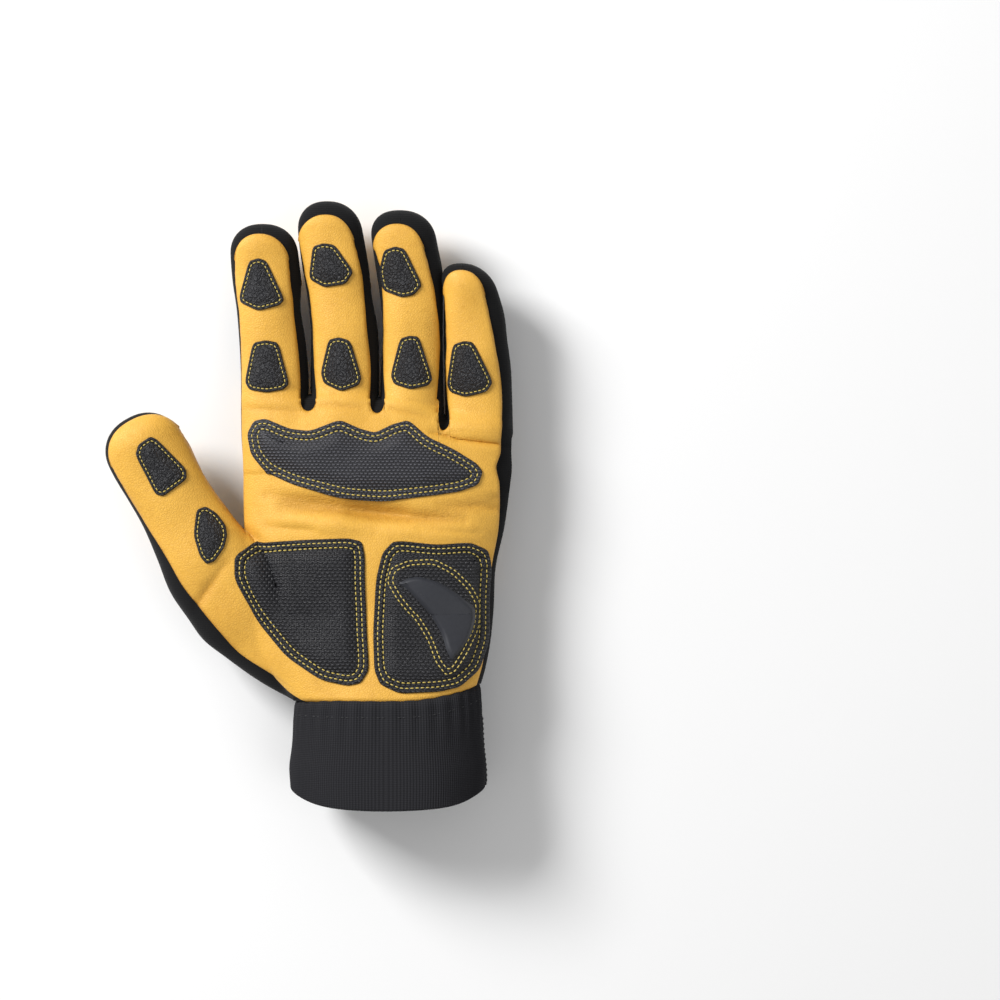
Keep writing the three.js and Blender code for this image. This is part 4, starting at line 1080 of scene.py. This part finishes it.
# Palm pads: a scalloped ridge pad under the knuckles, one on the ball of the thumb and one on the heel,
# each of woven grip cloth over foam with a flat border held by two rows of yellow stitches.
ridge_rows = [
    (-0.929, 0.92), (-0.881, 0.965), (-0.801, 0.973), (-0.622, 0.936), (-0.471, 0.928), (-0.26, 0.968),
    (-0.11, 0.936), (0, 0.922), (0.13, 0.952), (0.24, 0.967), (0.381, 0.905), (0.58, 0.862), (0.729, 0.82),
    (0.78, 0.79), (0.755, 0.745), (0.62, 0.72), (0.41, 0.706), (0.085, 0.69), (-0.244, 0.7), (-0.614, 0.745),
    (-0.82, 0.79), (-0.91, 0.85),
]
thenar_rows = [
    (-0.91, 0.545), (-0.72, 0.55), (-0.546, 0.555), (-0.188, 0.563), (-0.075, 0.55), (-0.04, 0.5),
    (-0.034, 0.42), (-0.05, 0.24), (-0.09, 0.11), (-0.2, 0.065), (-0.34, 0.055), (-0.57, 0.075),
    (-0.793, 0.155), (-0.95, 0.28), (-1.071, 0.42), (-1.06, 0.5),
]
heel_rows = [
    (0.09, 0.51), (0.16, 0.55), (0.236, 0.553), (0.495, 0.54), (0.75, 0.548), (0.90, 0.52), (0.945, 0.46),
    (0.938, 0.37), (0.956, 0.21), (0.90, 0.11), (0.74, 0.05), (0.541, 0.035), (0.155, 0.029), (-0.02, 0.06),
    (-0.045, 0.11), (0.0, 0.24), (0.05, 0.42),
]
# Rising field inside the border, and the two stitch rows
outer_stitch = 1.8
inner_stitch = 3.8
border_rise = 1.0
field_rise = 1.5
big_insets = [
    0, 0.1, 0.25, 0.45, 0.7, 1.0, 1.3, 1.55, 1.8, 2.05, 2.3, 2.8, 3.3, 3.55, 3.8, 4.05, 4.35, 4.8, 5.4, 6.2,
]
ridge_centre = (-0.12, 0.825)
thenar_centre = (-0.46, 0.33)
heel_centre = (0.48, 0.29)


def palm_points(rows):
    """Plan points of (across, along) shares of the palm."""
    rows = np.array(rows, float)
    middle, half = palm_width(rows[:, 1])
    return np.stack([middle + rows[:, 0] * half, rows[:, 1] * palm_length], -1)


def palm_pad_height(gap):
    """Height of a palm pad: rounded edge, flat border with two stitch grooves, then the foam field."""
    edge = leather_lift + border_rise * quarter_round(gap, 0.5)
    grooves = 0.3 * bell(gap, outer_stitch, 0.32) + 0.45 * bell(gap, inner_stitch, 0.4)
    between = 0.18 * bell(gap, (outer_stitch + inner_stitch) / 2, 0.6)
    return edge - grooves + between + field_rise * ease(gap, inner_stitch, inner_stitch + 5.0) ** 0.8


def yarn_bulge(calc, place, spread, power):
    """Height of a yarn across its cell, 1 along its middle."""
    beside = calc("MULTIPLY", calc("ABSOLUTE", calc("SUBTRACT", calc("FRACT", place), 0.5)), spread)
    return calc("SUBTRACT", 1.0, calc("POWER", beside, power), clamp=True)


weave_group, weave_in, weave_out, calc = node_group(
    "dash_weave", [("Width", 0.0018), ("Height", 0.0012)], ["Height", "Painted_Highlight"])
place = object_place(weave_group)
sway = noise(weave_group, place, 160.0, 1.0)
axes = add_node(weave_group, "ShaderNodeSeparateXYZ", {0: place}).outputs
row_place = calc("DIVIDE", calc("MULTIPLY_ADD", sway, 0.0008, axes["Y"]), weave_in["Height"])
column_place = calc("DIVIDE", calc("MULTIPLY_ADD", sway, 0.0006, axes["X"]), weave_in["Width"])
staggered = calc("MULTIPLY_ADD", calc("FLOOR", row_place), 0.5, column_place)
bulge = calc("MULTIPLY", yarn_bulge(calc, staggered, 2.35, 3.0), yarn_bulge(calc, row_place, 2.6, 2.0))
speckle = noise(weave_group, place, 2200.0, 3.0)
plug(weave_group, weave_out["Height"], calc("MULTIPLY_ADD", speckle, 0.4, bulge))
# Painted highlight: lighter on the yarn tops, broken by the speckle
painted_yarn_highlight = calc("MULTIPLY", bulge, calc("MULTIPLY_ADD", speckle, 1.1, 0.3), clamp=True)
plug(weave_group, weave_out["Painted_Highlight"], painted_yarn_highlight)


def weave_material(name, low, high, width, height, bump, roughness):
    """Woven grip cloth: staggered dashes of thick yarn from the shared group, with a painted highlight on
    their tops.
    """
    material, tree = new_material(name)
    weave = use_group(tree, weave_group, Width=width, Height=height)
    values = {"Roughness": roughness, "Specular IOR Level": 0.35}
    return finish_surface(material, weave["Painted_Highlight"], low, high, values, weave["Height"], bump)


ridge_material = weave_material("ridge_weave_grey", (0.018, 0.018, 0.021, 1), (0.10, 0.10, 0.115, 1),
                                0.0017, 0.0012, 0.0005, 0.45)
black_weave_material = weave_material("pad_weave_black", (0.010, 0.010, 0.012, 1), (0.05, 0.05, 0.056, 1),
                                      0.0020, 0.0013, 0.0007, 0.4)


def add_palm_pad(node, rows, centre, material, count):
    """One palm pad over its CAD piece, with both stitch rows."""
    loop = anticlockwise(smooth_loop(palm_points(rows), count))
    shell = pad_shell(loop, big_insets, palm_pad_height, palm_points([centre])[0])
    pad = add_piece(node + "_cushion", [shell], material, [node])
    for distance in (outer_stitch, inner_stitch):
        row = inset(loop, distance)
        line, normals = raised_line(row, palm_pad_height(distance) + 0.22)
        thread_rows.append(stitches(line, normals))
    return loop


add_palm_pad("palm_ridge_pad", ridge_rows, ridge_centre, ridge_material, 420)
add_palm_pad("thenar_pad", thenar_rows, thenar_centre, black_weave_material, 360)
heel_loop = add_palm_pad("hypothenar_pad", heel_rows, heel_centre, black_weave_material, 360)

# Rubber blade on the heel pad: one smooth moulded leaf with a bevel, inside a second pair of stitches
# that quilts the foam round it.
blade_rows = [
    (0.215, 0.405), (0.30, 0.425), (0.391, 0.432), (0.555, 0.412), (0.70, 0.37), (0.815, 0.325),
    (0.825, 0.28), (0.79, 0.215), (0.72, 0.165), (0.645, 0.135), (0.60, 0.165), (0.56, 0.225),
    (0.456, 0.305), (0.30, 0.38),
]
quilt_rows = [
    (0.14, 0.41), (0.17, 0.46), (0.30, 0.485), (0.50, 0.49), (0.66, 0.452), (0.79, 0.395), (0.865, 0.335),
    (0.855, 0.25), (0.77, 0.165), (0.68, 0.105), (0.60, 0.09), (0.52, 0.13), (0.46, 0.20), (0.36, 0.275),
    (0.22, 0.35),
]
blade_rise = 1.5
rubber_color = (0.017, 0.018, 0.024, 1)

rubber_material = flecked_material("smooth_rubber_slate", rubber_color, (0.024, 0.026, 0.033, 1), 700.0, 4.0,
                                   0.46, 0.00004)


def heel_field(line):
    """Height of the heel pad at plan points."""
    return palm_pad_height(distance_to(line[:, 0], line[:, 1], heel_loop[:, 0], heel_loop[:, 1]))


blade_loop = anticlockwise(smooth_loop(palm_points(blade_rows), 200))
blade_insets = [0, 0.1, 0.3, 0.6, 1.0, 1.5, 2.0, 2.4]
blade_centre = palm_points([(0.6, 0.31)])[0]
blade_seat = float(heel_field(blade_loop).min()) - 0.4
blade_gaps = [0, 0.1, 0.3, 1.5, 2.0, 9]
blade_heights = blade_seat + np.array([0.5, 0.9, 1.1, 0.7 + blade_rise, 0.85 + blade_rise, 1.0 + blade_rise])


def blade_height(gap):
    """Height of the blade over the knit form at a gap from its edge: a bevel, then a nearly flat top."""
    return np.interp(gap, blade_gaps, blade_heights)


blade_shell = pad_shell(blade_loop, blade_insets, blade_height, blade_centre, blade_seat - 0.3)
add_piece("heel_rubber_blade", [blade_shell], rubber_material, ["heel_rubber"])
quilt_loop = anticlockwise(smooth_loop(palm_points(quilt_rows), 200))
for distance in (0.01, 1.7):
    row = inset(quilt_loop, distance)
    line, normals = raised_line(row, heel_field(row) + 0.12)
    thread_rows.append(stitches(line, normals))

# Back overlays: mustard leather over the knuckles, on three fingertips and along the back of the thumb,
# with cut edges and one topstitched row.
back_lift = 0.35
overlay_rise = 0.9
topstitch_inset = 2.7
back_leather_material = leather_material("back_leather_mustard", (0.60, 0.34, 0.06, 1),
                                         (0.36, 0.17, 0.025, 1), 0.0008, 0.5, 0.00012)
knuckle_top = [
    (-0.985, 1.08), (-0.84, 1.137), (-0.58, 1.155), (-0.545, 1.14), (-0.535, 1.0), (-0.482, 1.0),
    (-0.47, 1.15), (-0.24, 1.175), (-0.04, 1.165), (-0.02, 1.15), (-0.01, 1.0), (0.038, 1.0), (0.05, 1.15),
    (0.26, 1.13), (0.45, 1.09), (0.47, 1.07), (0.482, 0.93), (0.53, 0.93), (0.54, 1.075), (0.72, 1.05),
    (0.89, 1.0),
]
knuckle_low = [
    (-1.09, 0.36), (-0.97, 0.41), (-0.842, 0.46), (-0.72, 0.53), (-0.592, 0.6), (-0.48, 0.64),
    (-0.364, 0.665), (-0.183, 0.7), (0.02, 0.715), (0.217, 0.7), (0.402, 0.655), (0.575, 0.575),
    (0.70, 0.51), (0.816, 0.44), (0.892, 0.315),
]


def overlay_height(gap):
    """Height of a back overlay over the knit: a cut edge, then a topstitched groove."""
    edge = back_lift + overlay_rise * quarter_round(gap, 0.6)
    return edge - 0.22 * bell(gap, topstitch_inset, 0.4) + 0.25 * ease(gap, topstitch_inset, 8)


def topstitch(x, y, faces, distance):
    """Stitches over an overlay's grid along its border, moved inwards by a distance."""
    rim = border_edges(faces)
    after = dict(zip(rim[:, 0].tolist(), rim[:, 1].tolist()))
    order = [int(rim[0, 0])]
    while after.get(order[-1], order[0]) != order[0] and len(order) <= len(rim):
        order.append(after[order[-1]])
    loop = spaced(np.stack([x[order], y[order]], -1), 700)
    row = inset(anticlockwise(loop), distance, 0.25)
    kept = distance_to(row[:, 0], row[:, 1], loop[:, 0], loop[:, 1]) > 0.85 * distance
    line, normals = raised_line(row, overlay_height(distance) + 0.15, -1)
    points, quads = stitches(line, normals)
    centres = points.reshape(-1, points_per_stitch, 3).mean(1)
    good = distance_to(centres[:, 0], centres[:, 1], row[kept, 0], row[kept, 1]) < 0.6
    return points, quads.reshape(-1, quads_per_stitch, 4)[good].reshape(-1, 4)


top_line = spaced(palm_points(knuckle_top), 330)
low_line = spaced(palm_points(knuckle_low), 330)
for _ in range(24):
    top_line[1:-1] = (top_line[:-2] + 2 * top_line[1:-1] + top_line[2:]) / 4
    low_line[1:-1] = (low_line[:-2] + 2 * low_line[1:-1] + low_line[2:]) / 4
t = np.linspace(0, 1, 50)[:, None]
x = (low_line[:, 0] + (top_line[:, 0] - low_line[:, 0]) * t).ravel()
y = (low_line[:, 1] + (top_line[:, 1] - low_line[:, 1]) * t).ravel()
middle, half = palm_width(np.clip(y / palm_length, 0, 1))
x = np.maximum(x, middle - half * (0.97 + 0.14 * ease(0.53 - y / palm_length, 0, 0.1)))
knuckle_faces = grid_faces(50, 330)
knuckle_shell = conform(x, y, knuckle_faces, -1, overlay_height, overlay_rise)
knuckle = add_piece("knuckle_leather", [knuckle_shell], back_leather_material,
                    ["knuckle_panel"])
thread_rows.append(topstitch(x, y, knuckle_faces, topstitch_inset))

# Thumb's back piece: share along the thumb, then its left and right edges in half widths
thumb_back_columns = ("along", "left", "right")
thumb_back_rows = [
    (0.27, 0.12, 0.3), (0.36, 0.42, 0.62), (0.5, 0.6, 0.78), (0.66, 0.72, 0.84), (0.8, 0.78, 0.84),
    (0.9, 0.72, 0.78), (0.96, 0.46, 0.5),
]
q = -np.cos(np.linspace(0, np.pi, 50))[None, :]
share = (0.27 + 0.69 * np.linspace(0, 1, 110))[:, None] + 0 * q
centre, half = thumb_edges(share)
low = read(thumb_back_rows, thumb_back_columns, "left", share)
high = read(thumb_back_rows, thumb_back_columns, "right", share)
x, y = thumb_plan(share * thumb_length, centre + half * np.where(q < 0, q * low, q * high))
x, y = x.ravel(), y.ravel()
thumb_back_faces = grid_faces(110, 50)
thumb_back_shell = conform(x, y, thumb_back_faces, -1, overlay_height, overlay_rise)
thumb_back = add_piece("thumb_back_leather", [thumb_back_shell], back_leather_material,
                       ["thumb_back_panel"])
thread_rows.append(topstitch(x, y, thumb_back_faces, 2.2))

# Tip caps: the leather folded over the fingertips, with a turned, raised band across the finger. Rows:
# finger, and the lower edge from the tip at the sides and in the middle, in finger widths.
cap_table = [("index", 0.94, 0.68), ("middle", 1.32, 1.02), ("ring", 1.18, 0.88)]
cap_turn = np.radians(62)
cap_columns = 49
by_name = {finger["name"]: finger for finger in fingers}
for name, sides, middle_edge in cap_table:
    finger = by_name[name]
    turn = np.linspace(-cap_turn, cap_turn, cap_columns)[None, :]
    bow = (np.abs(turn) / cap_turn) ** 1.6
    start = finger["length"] - finger["width"] * (middle_edge + (sides - middle_edge) * bow)
    t = np.linspace(0, 1, 60)[:, None] ** 0.9
    rounded = np.sqrt(np.clip(1 - (turn / cap_turn) ** 2, 0, 1))
    end = finger["length"] - 0.13 * finger["width"] * (1.9 - 1.4 * rounded)
    past = start + (end - start) * t
    turns = np.pi + turn + 0 * past
    border = np.minimum(np.minimum(past - start, end - past), (1 - np.abs(turn) / cap_turn) * 11)
    band = 0.35 * ease(2.9 - (past - start), 0, 0.5)
    form = finger_turns(finger, past, turns)
    middle_x = np.full_like(past, form[..., 0].mean())
    away = unit(form - np.stack([middle_x, form[..., 1], finger_body(finger, past)[0]], -1))
    lift = overlay_height(border) + band + knit_sink
    outer, inner = form + away * lift[..., None], form + away * 0.1
    outer[..., 2] = np.maximum(outer[..., 2], 0.4)
    cap = add_piece(f"tip_cap_{name}_leather", [walled(outer, inner, turned=True)], back_leather_material,
                    [f"tip_cap_{name}"])
    for distance in (0.8, 2.3):
        row = np.abs(past - start - distance).argmin(0)[3:-3]
        columns = np.arange(cap_columns)[3:-3]
        line = outer[row, columns] + away[row, columns] * 0.12
        thread_rows.append(stitches(line, away[row, columns], closed=False))
add_piece("yellow_stitches", thread_rows, thread_material)

# Cuff: a wide elastic tube, woven in fine upright ribs and turned over at the hem, gathered where it is
# sewn to the leather and knit. A faint row of dark stitches holds its upper edge.
cuff_columns = ("along", "wide", "thick")
cuff_rows = [(-1, 1.02, 1.03), (-0.72, 1.03, 1.03), (-0.4, 1, 1), (-0.14, 0.985, 0.98), (0, 0.97, 0.97)]
cuff_wall = 2.0
rib_count = 210
rib_depth = 0.16
gather_count = 34
hem_corner_rise = 4.5
cuff_seam_row = -0.125


def cuff_form(along, turn, lift):
    """Points of the cuff's superellipse tube at a share above its seam (-1 to 0) and a turn from the palm
    side towards the little finger, and their outward normals, lift millimetres over it."""
    half = cuff_width / 2 * read(cuff_rows, cuff_columns, "wide", along)
    reach = cuff_thickness / 2 * read(cuff_rows, cuff_columns, "thick", along)
    across, up = bent(np.sin(turn), tube_power), bent(np.cos(turn), tube_power)
    facing = np.stack([np.sign(across) * np.abs(across) ** 1.35 / half, 0 * across,
                       np.sign(up) * np.abs(up) ** 1.35 / reach], -1)
    facing = unit(facing, 1e-9)
    y = cuff_length * along - 2 * seam_gap + cuff_seam_rise * np.clip(across, 0, 1) ** 2.5 * (1 + along)
    y = y - cuff_end_bow * (across ** 2 - 0.5) * along
    y = y + hem_corner_rise * np.abs(across) ** 7 * ease(-along, 0.45, 1.0)
    z = cuff_height + reach * up
    points = np.stack([cuff_offset + half * across, y, z], -1) + facing * np.asarray(lift)[..., None]
    points[..., 2] = np.maximum(points[..., 2], cuff_floor - lift)
    return points, facing


turn = np.linspace(0, full, rib_count * 4 + 1)[:-1][None, :]
along = np.concatenate([[-1, -0.998, -0.992, -0.98], np.linspace(-0.965, 0.03, 30)])[:, None]
ribs = rib_depth * np.sin(rib_count * turn)
gathers = 0.28 * np.sin(gather_count * turn + 1.3 * np.sin(5 * turn)) * ease(along, -0.55, -0.05)
waves = 0.35 * np.sin(7 * turn + 2 * along) * ease(-along, 0.1, 1.0)
groove = 0.35 * bell(along * cuff_length, cuff_seam_row * cuff_length, 0.5)
hem = 0.5 * np.sqrt(np.clip(1 - ((along + 1) * cuff_length / 0.9 - 1).clip(None, 0) ** 2, 0, 1)) - 0.5
tuck = 1.1 * ease(along, -0.02, 0.03)
raised = ribs + gathers + waves - groove + hem - tuck + 0.1
outer, facing = cuff_form(along + 0 * turn, turn + 0 * along, raised)
inner = outer - facing * (cuff_wall + 0 * raised - 0.4 * (raised < -0.6))[..., None]
elastic_material = cloth_material("cuff_elastic_charcoal", (0.011, 0.011, 0.013, 1), (0.026, 0.026, 0.03, 1),
                                  0.0007, 0.0006, 0.00006, 0.8)
cuff = add_piece("cuff_elastic_tube", [walled(outer, inner, round_joined=True)], elastic_material,
                 ["cuff_band"])

dark_thread_material = flecked_material("thread_charcoal", (0.02, 0.02, 0.022, 1), (0.035, 0.035, 0.038, 1),
                                        900.0, 2.0, 0.65)
turn = np.linspace(0, full, 400)[:-1]
line, facing = cuff_form(np.full_like(turn, cuff_seam_row), turn, 0 * turn)
dark_rows = [stitches(line, facing, thick=0.34)]

# Wrist strap: stiff webbing sewn into the cuff at the little finger side and closed across the back of
# the wrist. Its tongue ends round and carries a smooth rubber tab, sewn on with small stitches.
strap_thickness = 2.2
strap_width = 33
strap_tongue_length = 54
strap_hem = 1.2
strap_middle = strap_hem + strap_width / 2 - cuff_length
strap_tip = cuff_offset + cuff_width / 2 - strap_tongue_length
strap_start = np.radians(97)
tongue_rounding = 0.42
tab_margin = 4
tab_end_margin = 6.6
tab_thickness = 1.8
tab_length = 46


def tongue_sheet(tip, far_turn, far_x, width, seat, wall, rounding, rows=90, cells=41):
    """A strap round the back of the cuff: from a far edge to a rounded tongue, seated at a lift."""
    v = -np.cos(np.linspace(0, np.pi, cells))[None, :]
    end_x = tip + width * rounding * (1 - np.sqrt(np.clip(1 - v ** 2, 0, 1)))
    half = cuff_width / 2 * 1.02 + seat
    end_share = (end_x - cuff_offset) / half
    end_turn = np.pi - np.arcsin(np.sign(end_share) * np.abs(end_share) ** (tube_power / 2))
    far_share = 0 if far_x is None else (far_x - cuff_offset) / half
    far = far_turn if far_x is None else np.pi - np.arcsin(far_share ** (tube_power / 2))
    t = (0.5 - 0.5 * np.cos(np.linspace(0, np.pi, rows)))[:, None]
    turn = far + (end_turn - far) * t
    hem, _ = cuff_form(np.full(turn.shape, -1.0), turn, np.full(turn.shape, seat))
    low_edge = np.maximum(strap_middle - width / 2, hem[..., 1] + 0.7 * strap_hem)
    high_edge = strap_middle + width / 2
    y = low_edge + (high_edge - low_edge) * (1 + v) / 2
    share = np.clip((y + 2 * seam_gap) / cuff_length, -1, 0)
    bare, facing = cuff_form(share, turn, np.full(turn.shape, seat))
    bare[..., 1] = y
    length = np.abs(end_turn - far) * half
    border = np.minimum((1 - np.abs(v)) * width / 2, np.minimum(t * length, (1 - t) * length))
    edge = wall * (0.35 + 0.65 * quarter_round(border, 0.7))
    edge = edge * (0.3 + 0.7 * ease(np.degrees(turn), 96, 128))
    outer = bare + facing * edge[..., None]
    outer[..., 2] = np.maximum(outer[..., 2], np.maximum(cuff_floor - seat - wall, 0.05))
    return walled(outer, bare, turned=True), outer, facing


webbing_material = cloth_material("strap_webbing_black", (0.009, 0.009, 0.01, 1), (0.03, 0.03, 0.034, 1),
                                  0.0012, 0.0007, 0.00018, 0.75)
strap_shell, strap_top, strap_facing = tongue_sheet(
    strap_tip, strap_start, None, strap_width, 0.35, strap_thickness, tongue_rounding)
strap = add_piece("wrist_strap_webbing", [strap_shell], webbing_material, ["wrist_strap"])
tab_tip = strap_tip + tab_end_margin
tab_shell, tab_top, tab_facing = tongue_sheet(
    tab_tip, None, tab_tip + tab_length - 6, strap_width - 2 * tab_margin, 0.35 + strap_thickness,
    tab_thickness - 0.15, tongue_rounding)
add_piece("strap_tab_rubber", [tab_shell], rubber_material, ["strap_tab"])


def sheet_row(top, facing, inset_rows, inset_cells):
    """A closed line round a sheet's grid, some rows and cells in from its edge."""
    rows, cells = top.shape[:2]
    r = np.arange(inset_rows, rows - inset_rows)
    c = np.arange(inset_cells, cells - inset_cells)
    path = [(r, np.full(len(r), c[0])), (np.full(len(c), r[-1]), c), (r[::-1], np.full(len(r), c[-1])),
            (np.full(len(c), r[0]), c[::-1])]
    row = np.concatenate([part[0] for part in path])
    cell = np.concatenate([part[1] for part in path])
    return top[row, cell] + facing[row, cell] * 0.1, facing[row, cell]


dark_rows.append(stitches(*sheet_row(strap_top, strap_facing, 9, 5)))
dark_rows.append(stitches(*sheet_row(tab_top, tab_facing, 9, 5), thick=0.36))
add_piece("dark_stitches", dark_rows, dark_thread_material)
